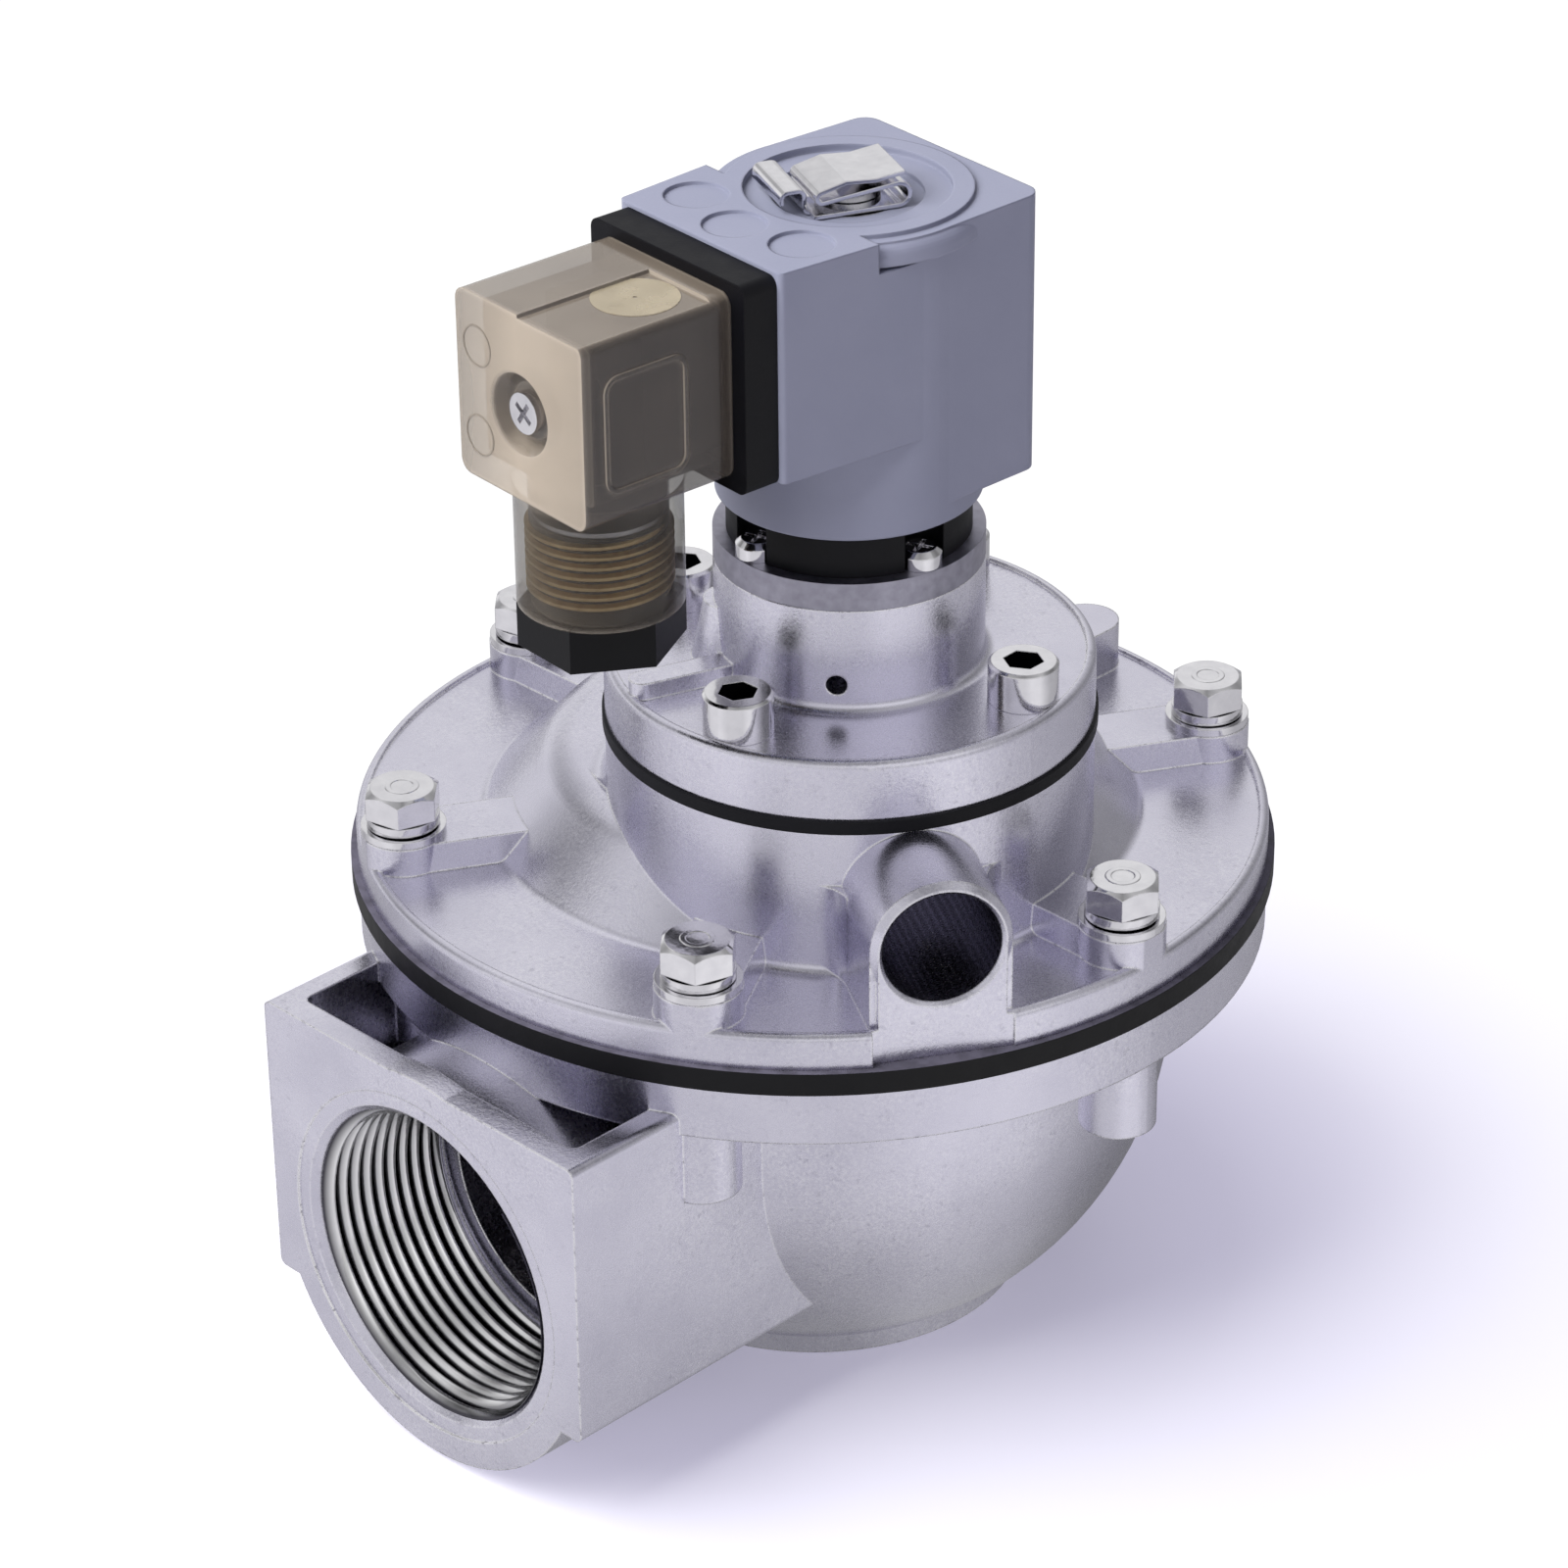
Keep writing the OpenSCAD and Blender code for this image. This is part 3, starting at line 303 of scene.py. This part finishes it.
def cut_thread(name, inlet):
    """Freshly cut pipe thread of the inlet or the outlet: bright crests, with the roots painted
    dark as painted shade.
    """
    metal = Finish(name, Metallic=1.0)
    east, north, height = metal.axes(metal.place())
    up = height - INLET_Z if inlet else north
    radius = (east * east + up * up) ** 0.5
    depth = (radius - PORT_CREST_R) * (1 / (PORT_ROOT_R - PORT_CREST_R))
    # Painted shade: darker with depth, so the thread's roots are near black.
    root_shade_tones = metal.steps(depth, (0.08, 0.95), (0.45, 0.5), (0.9, 0.04))
    metal.colour(metal.mix(0.12, root_shade_tones, rgb(150, 146, 170)))
    metal.roughness(0.08 + metal.noise(0.3 * MM) * 0.1)
    metal.relief(metal.noise(0.25 * MM, 1.0), 0.02 * MM, 0.3)
    return metal.material


def plated_steel():
    """Bright nickel plating over pressed steel."""
    metal = Finish("plated_steel", Metallic=1.0)
    cloud = metal.noise(2.2 * MM, 2.0)
    metal.colour(metal.mix(cloud, rgb(214, 213, 218), rgb(242, 241, 244)))
    metal.roughness(0.05 + cloud * 0.1)
    metal.relief(cloud, 0.05 * MM, 0.5, 0.25 * MM)
    return metal.material


def turned_metal(name, dark, light, rough):
    """Turned metal, from dark to light."""
    metal = Finish(name, Metallic=1.0)
    cloud = metal.noise(1.5 * MM, 2.0)
    metal.colour(metal.mix(cloud, dark, light))
    metal.roughness(rough + cloud * 0.15)
    metal.relief(metal.noise(0.2 * MM), 0.01 * MM, 0.5, 0.15 * MM)
    return metal.material


def black_rubber():
    """Moulded rubber, near black, with a dull bloom."""
    rubber = Finish("black_rubber", Specular_IOR_Level=0.22)
    bloom = rubber.noise(3 * MM, 3.0)
    rubber.colour(rubber.mix(bloom, rgb(6, 6, 9), rgb(15, 15, 20)))
    rubber.roughness(0.44 + bloom * 0.2)
    rubber.relief(rubber.noise(0.5 * MM), 0.03 * MM, 0.6, 0.3 * MM)
    return rubber.material


def flange_rubber():
    """The clamped rubber disc: black at its side, with its top faces painted a patchy grey as
    painted light.
    """
    rubber = Finish("flange_rubber", Specular_IOR_Level=0.25)
    bloom = rubber.noise(2.5 * MM, 3.0)
    upward = rubber.axes(rubber.normal())[2]
    lit_rubber_top = rubber.steps(upward, (0.3, 0.0), (0.8, 1.0))
    patchy_light = rubber.steps(bloom, (0.3, 0.5), (0.6, 1.0))
    # Painted light: faces that look up are painted a patchy lighter grey.
    rubber.colour(rubber.mix(lit_rubber_top * patchy_light, rgb(7, 7, 10), rgb(92, 89, 102)))
    rubber.roughness(0.4 + bloom * 0.2)
    rubber.relief(rubber.noise(0.5 * MM), 0.03 * MM, 0.6, 0.3 * MM)
    return rubber.material


def coil_resin():
    """Satin grey resin of the coil, finely textured by its mould."""
    resin = Finish("coil_resin", Specular_IOR_Level=0.4)
    cloud = resin.noise(12 * MM, 3.0)
    grain = resin.noise(0.35 * MM, 2.0)
    resin.colour(resin.mix(cloud, rgb(134, 137, 155), rgb(144, 146, 163)))
    resin.roughness(0.42 + grain * 0.16)
    resin.relief(grain, 0.02 * MM, 0.6, 0.45 * MM)
    return resin.material


def smoky_shell():
    """Smoky see-through plastic: dark over the insides, with painted light on its top and front, a
    painted highlight along its edges and painted shade round its screw.
    """
    shell = Finish("smoky_shell", Coat_Weight=0.5, Coat_Roughness=0.06)
    cloud = shell.noise(11 * MM, 2.0)
    rim = shell.edges(1.5 * MM)
    east, north, height = shell.axes(shell.place())
    facing = shell.axes(shell.normal())

    low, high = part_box("plug_housing")
    level = (height - low.z) * (1 / (high.z - low.z))
    socket = shell.steps(level, (0.36, 1.0), (0.41, 0.0))
    front = shell.steps(facing[1] * -1, (0.5, 0.0), (0.9, 1.0))
    top = shell.steps(facing[2], (0.5, 0.0), (0.9, 1.0))

    right = ray(COIL_TURN)
    aside = (east - PLUG_SCREW.x) * right.x + (north - PLUG_SCREW.y) * right.y
    lift = height - PLUG_SCREW.z
    reach = (aside * aside + lift * lift) ** 0.5
    screw_shade_r = 10 * MM
    screw_shade = shell.steps(reach * (1 / screw_shade_r), (0.5, 1.0), (0.6, 0.0))
    screw_shade = screw_shade * (1 - top) * (1 - socket)
    width = 26 * MM
    front_light_spread = shell.steps(aside * (1 / width) + 0.5, (0.0, 0.35), (0.5, 0.85), (1.0, 0.7))

    body = shell.mix(cloud, rgb(72, 66, 61), rgb(92, 84, 76))
    # Painted light: the top is painted paler, and the front paler again, unevenly across its width.
    body = shell.mix(top, body, shell.mix(cloud, rgb(120, 109, 98), rgb(140, 129, 114)))
    body = shell.mix(front * front_light_spread, body, rgb(186, 172, 152))
    # Painted shade: darker round the plug's screw, but not on the top or the socket.
    body = shell.mix(screw_shade * 0.75, body, rgb(58, 47, 38))
    body = shell.mix(socket, body, rgb(72, 64, 53))
    # Painted highlight: the edges are painted paler; the same edge band also makes them less
    # see-through.
    shell.colour(shell.mix(rim * 0.5, body, rgb(172, 162, 148)))
    shell.roughness(0.14 + cloud * 0.1)
    slanted = shell.node("ShaderNodeLayerWeight", {}, {0: 0.5}, "Facing")
    thinned = (slanted - 0.9) * socket * 0.38
    shell.alpha(0.62 + cloud * 0.1 + rim * 0.15 + thinned)
    shell.relief(cloud, 0.1 * MM, 0.4, 0.5 * MM)
    return shell.material


def plug_glaze():
    """The thinner, paler spot in the top of the smoky shell."""
    glaze = Finish("plug_glaze")
    cloud = glaze.noise(5 * MM, 3.0)
    glaze.colour(glaze.mix(cloud, rgb(176, 164, 138), rgb(200, 188, 160)))
    glaze.roughness(0.2 + cloud * 0.1)
    glaze.alpha(0.34 + cloud * 0.3)
    return glaze.material


def moulded(name, dark, light, rough, shine=0.4):
    """A moulded plastic between two colours."""
    plastic = Finish(name, Specular_IOR_Level=shine)
    cloud = plastic.noise(4 * MM, 3.0)
    plastic.colour(plastic.mix(cloud, dark, light))
    plastic.roughness(rough + cloud * 0.12)
    plastic.relief(plastic.noise(0.4 * MM), 0.02 * MM, 0.6, 0.2 * MM)
    return plastic.material


finishes = {
    "cast_aluminium": cast_aluminium(),
    "inlet_cut": cut_thread("inlet_cut", True),
    "outlet_cut": cut_thread("outlet_cut", False),
    "plated_steel": plated_steel(),
    "black_rubber": black_rubber(),
    "flange_rubber": flange_rubber(),
    "grey_coil_plastic": coil_resin(),
    "smoky_clear_plastic": smoky_shell(),
    "plug_glaze": plug_glaze(),
    "pale_nylon": moulded("pale_nylon", rgb(216, 210, 192), rgb(228, 222, 206), 0.4),
    "black_plastic": moulded("black_plastic", rgb(3, 3, 5), rgb(9, 9, 13), 0.34, 0.18),
}
# The socket shade finish is dark metal put into the cap screws' sockets as painted shade.
for metal_name, dark_tone, light_tone, metal_rough in (
        ("stainless_steel", rgb(170, 170, 174), rgb(204, 204, 208), 0.2),
        ("spring_steel", rgb(140, 140, 144), rgb(176, 176, 180), 0.3),
        ("soft_iron", rgb(150, 150, 154), rgb(178, 178, 182), 0.32),
        ("copper", rgb(176, 110, 76), rgb(212, 150, 112), 0.25),
        ("gland_bronze", rgb(150, 122, 84), rgb(206, 184, 140), 0.3),
        ("brass", rgb(190, 160, 92), rgb(222, 194, 128), 0.22),
        ("sanded_aluminium", rgb(136, 134, 148), rgb(188, 186, 200), 0.34),
        ("socket_shade", rgb(24, 24, 30), rgb(60, 60, 68), 0.3)):
    finishes[metal_name] = turned_metal(metal_name, dark_tone, light_tone, metal_rough)

# Nodes that look different from the rest of their material slot
own_finish = {"retainer_ring": "sanded_aluminium", "main_diaphragm": "flange_rubber"}

NODE_CREASE = math.radians(28)
PIECE_CREASE = math.radians(35)


def shade(data, crease):
    """Smooth shading, but for edges sharper than crease."""
    data.polygons.foreach_set("use_smooth", [True] * len(data.polygons))
    data.set_sharp_from_angle(angle=crease)


def dress_frame():
    """Gives every CAD node the finish of its material slot, or its own."""
    for node, item in nodes.items():
        for holder in item.material_slots:
            name = holder.material.name.split(".")[0]
            holder.material = finishes[own_finish.get(node, name)]
        shade(item.data, NODE_CREASE)


# Camera, light and floor

CAMERA_PLACE = Vector((0.49019, -0.48960, 0.46890))
CAMERA_RIGHT = Vector((0.70639, 0.70775, -0.00994))
CAMERA_UP = Vector((-0.34083, 0.35241, 0.87157))
LENS = 124.227
SENSOR = 36.0
LAMP_AIM = Vector((0, 0, 0.09))


def show(item):
    """Puts an object into the scene."""
    bpy.context.scene.collection.objects.link(item)


def set_camera():
    """The photograph's viewpoint."""
    lens = bpy.data.cameras.new("camera")
    lens.lens = LENS
    lens.sensor_width = SENSOR
    camera = bpy.data.objects.new("camera", lens)
    show(camera)
    back = CAMERA_RIGHT.cross(CAMERA_UP)
    turn = Matrix((CAMERA_RIGHT, CAMERA_UP, back)).transposed()
    camera.matrix_world = Matrix.Translation(CAMERA_PLACE) @ turn.to_4x4()
    bpy.context.scene.camera = camera


def softbox(name, place, width, height, power):
    """A rectangular lamp that faces the valve. Metal reflects the world's screens instead."""
    light = bpy.data.lights.new(name, "AREA")
    light.shape = "RECTANGLE"
    light.size = width
    light.size_y = height
    light.energy = power
    lamp = bpy.data.objects.new(name, light)
    lamp.location = place
    lamp.visible_glossy = False
    lamp.rotation_euler = (LAMP_AIM - lamp.location).to_track_quat("-Z", "Y").to_euler()
    show(lamp)


def set_light():
    softbox("key_light", Vector((-0.32, -0.9, 1.2)), 1.25, 1.25, 39)
    softbox("back_light", Vector((-0.9, 0.8, 0.9)), 0.9, 0.5, 1.6)


class Studio(Finish):
    """The world's nodes, built with the same helpers."""

    def __init__(self):
        world = bpy.data.worlds.new("studio")
        world.use_nodes = True
        bpy.context.scene.world = world
        self.tree = world.node_tree
        self.lamp = self.tree.nodes["Background"]


def set_world():
    """White for the camera, and bright screens and dark gaps for what reflects the room."""
    studio = Studio()
    east, north, height = studio.axes(studio.node("ShaderNodeTexCoord", {}, {}, "Generated"))
    screens = studio.compass(
        east, north, (-180, 0.42), (-157, 0.2), (-141, 0.55), (-129, 0.95), (-112, 0.9),
        (-100, 0.56), (-75, 0.78), (-50, 0.84), (-27, 1.0), (8, 1.0), (27, 0.55), (42, 0.2),
        (72, 0.2), (95, 0.4), (118, 0.7), (130, 0.86), (145, 0.8), (165, 0.5), (180, 0.42))
    ceiling = studio.compass(
        east, north, (-180, 0.95), (-125, 0.5), (-45, 0.28), (30, 0.55), (95, 0.45), (135, 0.95))
    skirting = studio.compass(
        east, north, (-180, 0.88), (-140, 0.8), (-40, 0.6), (60, 0.45), (95, 0.3), (150, 0.88))
    room = studio.mix(studio.steps(height, (0.55, 0.0), (0.8, 1.0)), screens, ceiling)
    room = studio.mix(studio.steps(height, (0.2, 1.0), (0.4, 0.0)), room, skirting)
    ambient = (0.26, 0.255, 0.32, 1.0)
    behind_glass = (0.9, 0.9, 0.92, 1.0)
    white = (1.0, 1.0, 1.0, 1.0)
    seen = studio.mix(studio.light_path("Is Glossy Ray"), ambient, room)
    seen = studio.mix(studio.light_path("Is Transmission Ray"), seen, behind_glass)
    seen = studio.mix(studio.light_path("Is Camera Ray"), seen, white)
    studio.feed(studio.lamp.inputs["Color"], seen)
    studio.lamp.inputs["Strength"].default_value = 1.0


def floor_paper():
    """Pale paper that is white far away and, for metal, mirrors the room's screens."""
    pale = Finish("floor_paper", Roughness=0.9, Specular_IOR_Level=0.1)
    pale.colour((0.92, 0.91, 0.93, 1.0))
    east, north, _ = pale.axes(pale.place())
    fade_r = 0.2
    reach = (east * east + north * north) ** 0.5 * (1 / fade_r)

    near_tint = (0.97, 0.93, 1.22, 1.0)
    far_tint = (1.06, 1.06, 1.06, 1.0)
    tint = pale.mix(pale.steps(reach, (0.3, 0.0), (0.8, 1.0)), near_tint, far_tint)
    bright = pale.node("ShaderNodeEmission", {}, {"Color": tint, "Strength": 1.0}, "Emission")
    glow = pale.steps(reach, (0.2, 0.26), (0.32, 0.34), (0.48, 0.62), (0.66, 0.86), (0.85, 1.0))

    screens = pale.compass(
        east, north, (-180, 0.32), (-157, 0.16), (-142, 0.4), (-130, 0.58), (-110, 0.6),
        (-95, 0.68), (-75, 0.5), (-35, 0.56), (-17, 0.8), (6, 0.76), (24, 0.5), (40, 0.34),
        (66, 0.32), (86, 0.2), (108, 0.18), (126, 0.46), (150, 0.46), (180, 0.32))
    near = pale.steps(reach, (0.3, 0.66), (0.75, 1.0))
    dim = pale.node("ShaderNodeEmission", {}, {"Color": screens, "Strength": near}, "Emission")

    lit = Wire(pale, pale.shader.outputs[0])
    glowing = pale.light_path("Is Camera Ray") * glow + pale.light_path("Is Transmission Ray") * 0.6
    mirrored = pale.light_path("Is Glossy Ray") * 0.75
    seen = pale.node("ShaderNodeMixShader", {}, {0: glowing, 1: lit, 2: bright})
    seen = pale.node("ShaderNodeMixShader", {}, {0: mirrored, 1: seen, 2: dim})
    pale.feed(pale.tree.nodes["Material Output"].inputs["Surface"], seen)
    return pale.material


def make_floor():
    """A pale sheet just under the valve that keeps its shadow."""
    half = 3.0
    z = -0.0002
    data = bpy.data.meshes.new("floor")
    data.from_pydata(
        [(-half, -half, z), (half, -half, z), (half, half, z), (-half, half, z)],
        [], [(0, 1, 2, 3)])
    data.materials.append(floor_paper())
    floor = bpy.data.objects.new("floor", data)
    show(floor)


# Ways to make a piece

def face_outwards(data):
    """Turns the faces of closed shells so that they all face outwards."""
    shell = bmesh.new()
    shell.from_mesh(data)
    bmesh.ops.recalc_face_normals(shell, faces=shell.faces)
    shell.to_mesh(data)
    shell.free()


def add_piece(name, points, faces, finish, body, closed=True):
    """A mesh piece that takes its finish from a slot of the record, and rides on body if given."""
    data = bpy.data.meshes.new(name)
    data.from_pydata([tuple(p) for p in points], [], faces)
    data.materials.append(finishes[finish])
    if closed:
        face_outwards(data)
    shade(data, PIECE_CREASE)
    piece = bpy.data.objects.new(name, data)
    show(piece)
    if body:
        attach(piece, body)
    return piece


def swept(section, steps, place):
    """Points and faces of a closed section swept along a path that place(u, point) gives."""
    count = len(section)
    points = [place(i / steps, p) for i in range(steps + 1) for p in section]
    faces = []
    for i in range(steps):
        for k in range(count):
            j = (k + 1) % count
            faces.append((i * count + k, i * count + j, (i + 1) * count + j, (i + 1) * count + k))
    faces.append(tuple(reversed(range(count))))
    faces.append(tuple(range(steps * count, (steps + 1) * count)))
    return points, faces


def screw_path(foot_r, pitch, turns, lead, fade, base, side, other):
    """How a section winds into a thread.

    The thread starts lead pitches in, and rises from foot_r over 1 / fade of a turn.
    """
    axis = side.cross(other)

    def place(u, point):
        radius, along = point
        angle = u * turns * math.tau
        share = min(1.0, u * turns * fade, (1 - u) * turns * fade)
        radius = foot_r + (radius - foot_r) * share
        reach = (u * turns + lead) * pitch + along
        return base + axis * reach + (side * math.cos(angle) + other * math.sin(angle)) * radius

    return place


def turned(points, faces, middle, profile, sides, first=0.0):
    """Adds an open shell turned from (radius, height) points, which stands upright on middle.

    It faces up where the points run inwards, and inwards where they run down.
    """
    start = len(points)
    count = len(profile)
    for i in range(sides):
        out = ray(first + i * math.tau / sides)
        points += [middle + out * r + UP * h for r, h in profile]
    for i in range(sides):
        here = start + i * count
        there = start + (i + 1) % sides * count
        faces += [(here + k, there + k, there + k + 1, here + k + 1) for k in range(count - 1)]


def disc(name, middle, across, up, radius, hole, thick, finish):
    """A thin round disc with a hole and a softened rim, on the plug, facing across x up."""
    face = across.cross(up).normalized()
    sides = 48
    edge = min(0.25 * thick, 0.1 * MM)
    outline = [
        (hole, 0.0), (radius, 0.0), (radius, thick - edge), (radius - edge, thick),
        (hole + edge, thick), (hole, thick - edge)]
    count = len(outline)
    points = []
    faces = []
    for i in range(sides):
        angle = i * math.tau / sides
        out = across * math.cos(angle) + up * math.sin(angle)
        points += [middle + out * r + face * h for r, h in outline]
        here = i * count
        there = (i + 1) % sides * count
        for k in range(count):
            j = (k + 1) % count
            faces.append((here + k, here + j, there + j, there + k))
    add_piece(name, points, faces, finish, "coil_body")


# Pieces

def pipe_thread(name, base, axis, finish):
    """The internal pipe thread of a port. base is the mouth's centre and axis points inwards."""
    half = PORT_PITCH / 2
    foot_r = PORT_ROOT_R + 0.25 * MM
    root_r = PORT_ROOT_R - 0.1 * MM
    crest_r = PORT_CREST_R + 0.1 * MM
    section = [
        (foot_r, -half * 0.98), (root_r, -half * 0.94), (crest_r, -half * 0.22),
        (PORT_CREST_R, 0.0), (crest_r, half * 0.22), (root_r, half * 0.94),
        (foot_r, half * 0.98)]
    turns = PORT_THREAD_LENGTH / PORT_PITCH
    side = axis.orthogonal().normalized()
    steps_per_turn = 72
    path = screw_path(foot_r, PORT_PITCH, turns, lead=0.6, fade=2, base=base, side=side,
                      other=axis.cross(side))
    points, faces = swept(section, int(turns * steps_per_turn), path)
    add_piece(name, points, faces, finish, "root")


def port_threads():
    pipe_thread("inlet_thread", Vector((0, INLET_FACE_Y, INLET_Z)), NORTH, "inlet_cut")
    pipe_thread("outlet_thread", ORIGIN, UP, "outlet_cut")


def gland_thread():
    """The bronze-coloured thread that shows through the smoky socket of the gland."""
    low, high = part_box("gland_nut")
    root_r = 9.3 * MM
    crest_r = 10.1 * MM
    pitch = 1.5 * MM
    half = pitch / 2
    section = [
        (root_r, -half * 0.9), (crest_r, -half * 0.3), (crest_r, half * 0.3), (root_r, half * 0.9)]
    base = Vector((GLAND.x, GLAND.y, low.z + 7.2 * MM))
    turns = (high.z - base.z - pitch) / pitch
    steps_per_turn = 48
    path = screw_path(root_r, pitch, turns, lead=0.5, fade=3, base=base, side=EAST, other=NORTH)
    points, faces = swept(section, int(turns * steps_per_turn), path)
    add_piece("gland_thread", points, faces, "gland_bronze", "coil_body")


def split_washers():
    """Spring washers under the bolt heads, each a slightly sprung ring with a slanted gap."""
    low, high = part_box("flange_spring_washers")
    inner = 3.25 * MM
    outer = 5.3 * MM
    rise = high.z - low.z
    thick = rise * 0.8
    gap = 0.18
    slant = 0.16
    first_gap = 0.9
    next_gap = 1.7
    steps = 40
    section = [(inner, 0.0), (outer, 0.0), (outer, thick), (inner, thick)]

    def sprung_path(middle, first):
        def place(u, point):
            radius, height = point
            angle = first + gap / 2 + u * (math.tau - gap) + height / thick * slant
            return middle + ray(angle) * radius + UP * (height + u * (rise - thick))
        return place

    points = []
    faces = []
    for number, bolt in enumerate(BOLTS):
        path = sprung_path(bolt + UP * low.z, first_gap + number * next_gap)
        ring, sides = swept(section, steps, path)
        faces += [tuple(k + len(points) for k in face) for face in sides]
        points += ring
    piece = add_piece("split_washers", points, faces, "plated_steel", "root")
    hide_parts("flange_spring_washers")


def plug_details():
    """The pale window in the plug's top and the two faint rings on its front."""
    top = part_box("plug_housing")[1].z
    window = on_coil(5.0 * MM, -41 * MM, top - 0.48 * MM)
    disc("plug_window", window, EAST, NORTH, 6.0 * MM, 0.3 * MM, 0.08 * MM, "plug_glaze")
    right = Matrix.Rotation(COIL_TURN, 3, "Z") @ EAST
    for number, drop in enumerate((7.5 * MM, 20.5 * MM)):
        middle = on_coil(-9 * MM, PLUG_FACE + 0.02 * MM, top - drop)
        disc(f"plug_ring_{number}", middle, right, UP, 3 * MM, 2.7 * MM, 0.1 * MM,
             "smoky_clear_plastic")


def bolt_rings():
    """A plain raised ring forged into the top of each flange bolt."""
    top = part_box("flange_bolts")[1].z
    profile = [
        (2.6 * MM, -0.05 * MM), (2.4 * MM, 0.1 * MM), (1.7 * MM, 0.1 * MM), (1.5 * MM, -0.05 * MM)]
    points = []
    faces = []
    for bolt in BOLTS:
        turned(points, faces, bolt + UP * top, profile, 40)
    add_piece("bolt_rings", points, faces, "plated_steel", "root", closed=False)


def socket_shade_linings():
    """Dark linings in the hexagon sockets of the four cap screws, as painted shade."""
    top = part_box("cap_screws")[1].z
    profile = [(2.84 * MM, -0.35 * MM), (2.84 * MM, -3.1 * MM), (0.05 * MM, -3.16 * MM)]
    hexagon_turn = math.radians(20)
    points = []
    faces = []
    for turn, screw in zip(CAP_SCREW_TURNS, CAP_SCREWS):
        turned(points, faces, screw + UP * top, profile, 6, turn + hexagon_turn)
    add_piece("socket_shade_linings", points, faces, "socket_shade", "root",
              closed=False)


# Rubber discs and springs

SECTORS = 12
SECTOR_STEPS = 8
RIM_SIDES = 144
HOLE_SIDES = 24


def circle(middle, radius, sides):
    """Corners of a circle in plan."""
    flat = Vector((middle.x, middle.y, 0))
    return [flat + ray(i * math.tau / sides) * radius for i in range(sides)]


def clamped_rim(name, node, outlines, finish):
    """The clamped part of a rubber disc, with its bolt holes."""
    low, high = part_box(node)
    flat = [point for line in outlines for point in line]
    count = len(flat)
    points = [Vector((p.x, p.y, z)) for z in (low.z, high.z) for p in flat]
    sheet = tessellate_polygon(outlines)
    faces = [tuple(k + level for k in face) for level in (0, count) for face in sheet]
    start = 0
    for line in outlines:
        for i in range(len(line)):
            here = start + i
            there = start + (i + 1) % len(line)
            faces.append((here, there, there + count, here + count))
        start += len(line)
    piece = add_piece(name, points, faces, finish, "root")
    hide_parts(node)


def bending_web(name, node, hole_r, plate_r, web_r):
    """The middle of a rubber disc, in sectors of their own."""
    low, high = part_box(node)
    middle = (low + high) / 2
    half = math.pi / SECTORS
    rings = 10
    bends = [hole_r] + [plate_r + (web_r - plate_r) * i / rings for i in range(rings + 1)]
    section = [(r, low.z) for r in bends] + [(r, high.z) for r in reversed(bends)]

    def sector_path(turn):
        def place(u, point):
            radius, height = point
            flat = middle + ray(turn + (2 * u - 1) * half) * radius
            return Vector((flat.x, flat.y, height))
        return place

    for number in range(SECTORS):
        turn = (2 * number + 1) * half
        points, faces = swept(section, SECTOR_STEPS, sector_path(turn))
        piece = add_piece(f"{name}_{number}", points, faces, "black_rubber", None)
        # Measured along the sector's middle, so that neighbours agree along their shared side
        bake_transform(piece)


def rubber_discs():
    """Both diaphragms, each a clamped rim and a web in sectors."""
    low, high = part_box("main_diaphragm")
    web_r = 46 * MM
    rim = [circle(ORIGIN, min(high.x, -low.x), RIM_SIDES),
           circle(ORIGIN, web_r, SECTORS * SECTOR_STEPS)]
    rim += [circle(bolt, BOLT_HOLE_R, HOLE_SIDES) for bolt in BOLTS]
    clamped_rim("main_rubber_rim", "main_diaphragm", rim, "flange_rubber")
    bending_web("main_rubber_web", "main_diaphragm", 4.05 * MM, 32.5 * MM, web_r)

    low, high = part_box("pilot_diaphragm")
    web_r = 22.5 * MM
    rim = [circle(NECK, (high.x - low.x) / 2, RIM_SIDES),
           circle(NECK, web_r, SECTORS * SECTOR_STEPS)]
    rim += [circle(screw, CAP_SCREW_HOLE_R, HOLE_SIDES) for screw in CAP_SCREWS]
    clamped_rim("pilot_rubber_rim", "pilot_diaphragm", rim, "black_rubber")
    bending_web("pilot_rubber_web", "pilot_diaphragm", 2.0 * MM, 12.5 * MM, web_r)


def springs():
    """The three springs, each copied into a piece that rides on the root."""
    for node, joint, lift in (("main_spring", "main_lift", 8 * MM),
                              ("pilot_spring", "pilot_lift", 2.5 * MM),
                              ("plunger_spring", "plunger_lift", 1.8 * MM)):
        coils = bpy.data.objects.new(node + "_coils", nodes[node].data.copy())
        coils.matrix_world = nodes[node].matrix_world.copy()
        show(coils)
        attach(coils, "root")
        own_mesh(coils)
        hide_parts(node)


dress_frame()
set_camera()
set_light()
set_world()
make_floor()
port_threads()
gland_thread()
split_washers()
plug_details()
bolt_rings()
socket_shade_linings()
rubber_discs()
springs()

bpy.context.scene.view_settings.view_transform = "Standard"
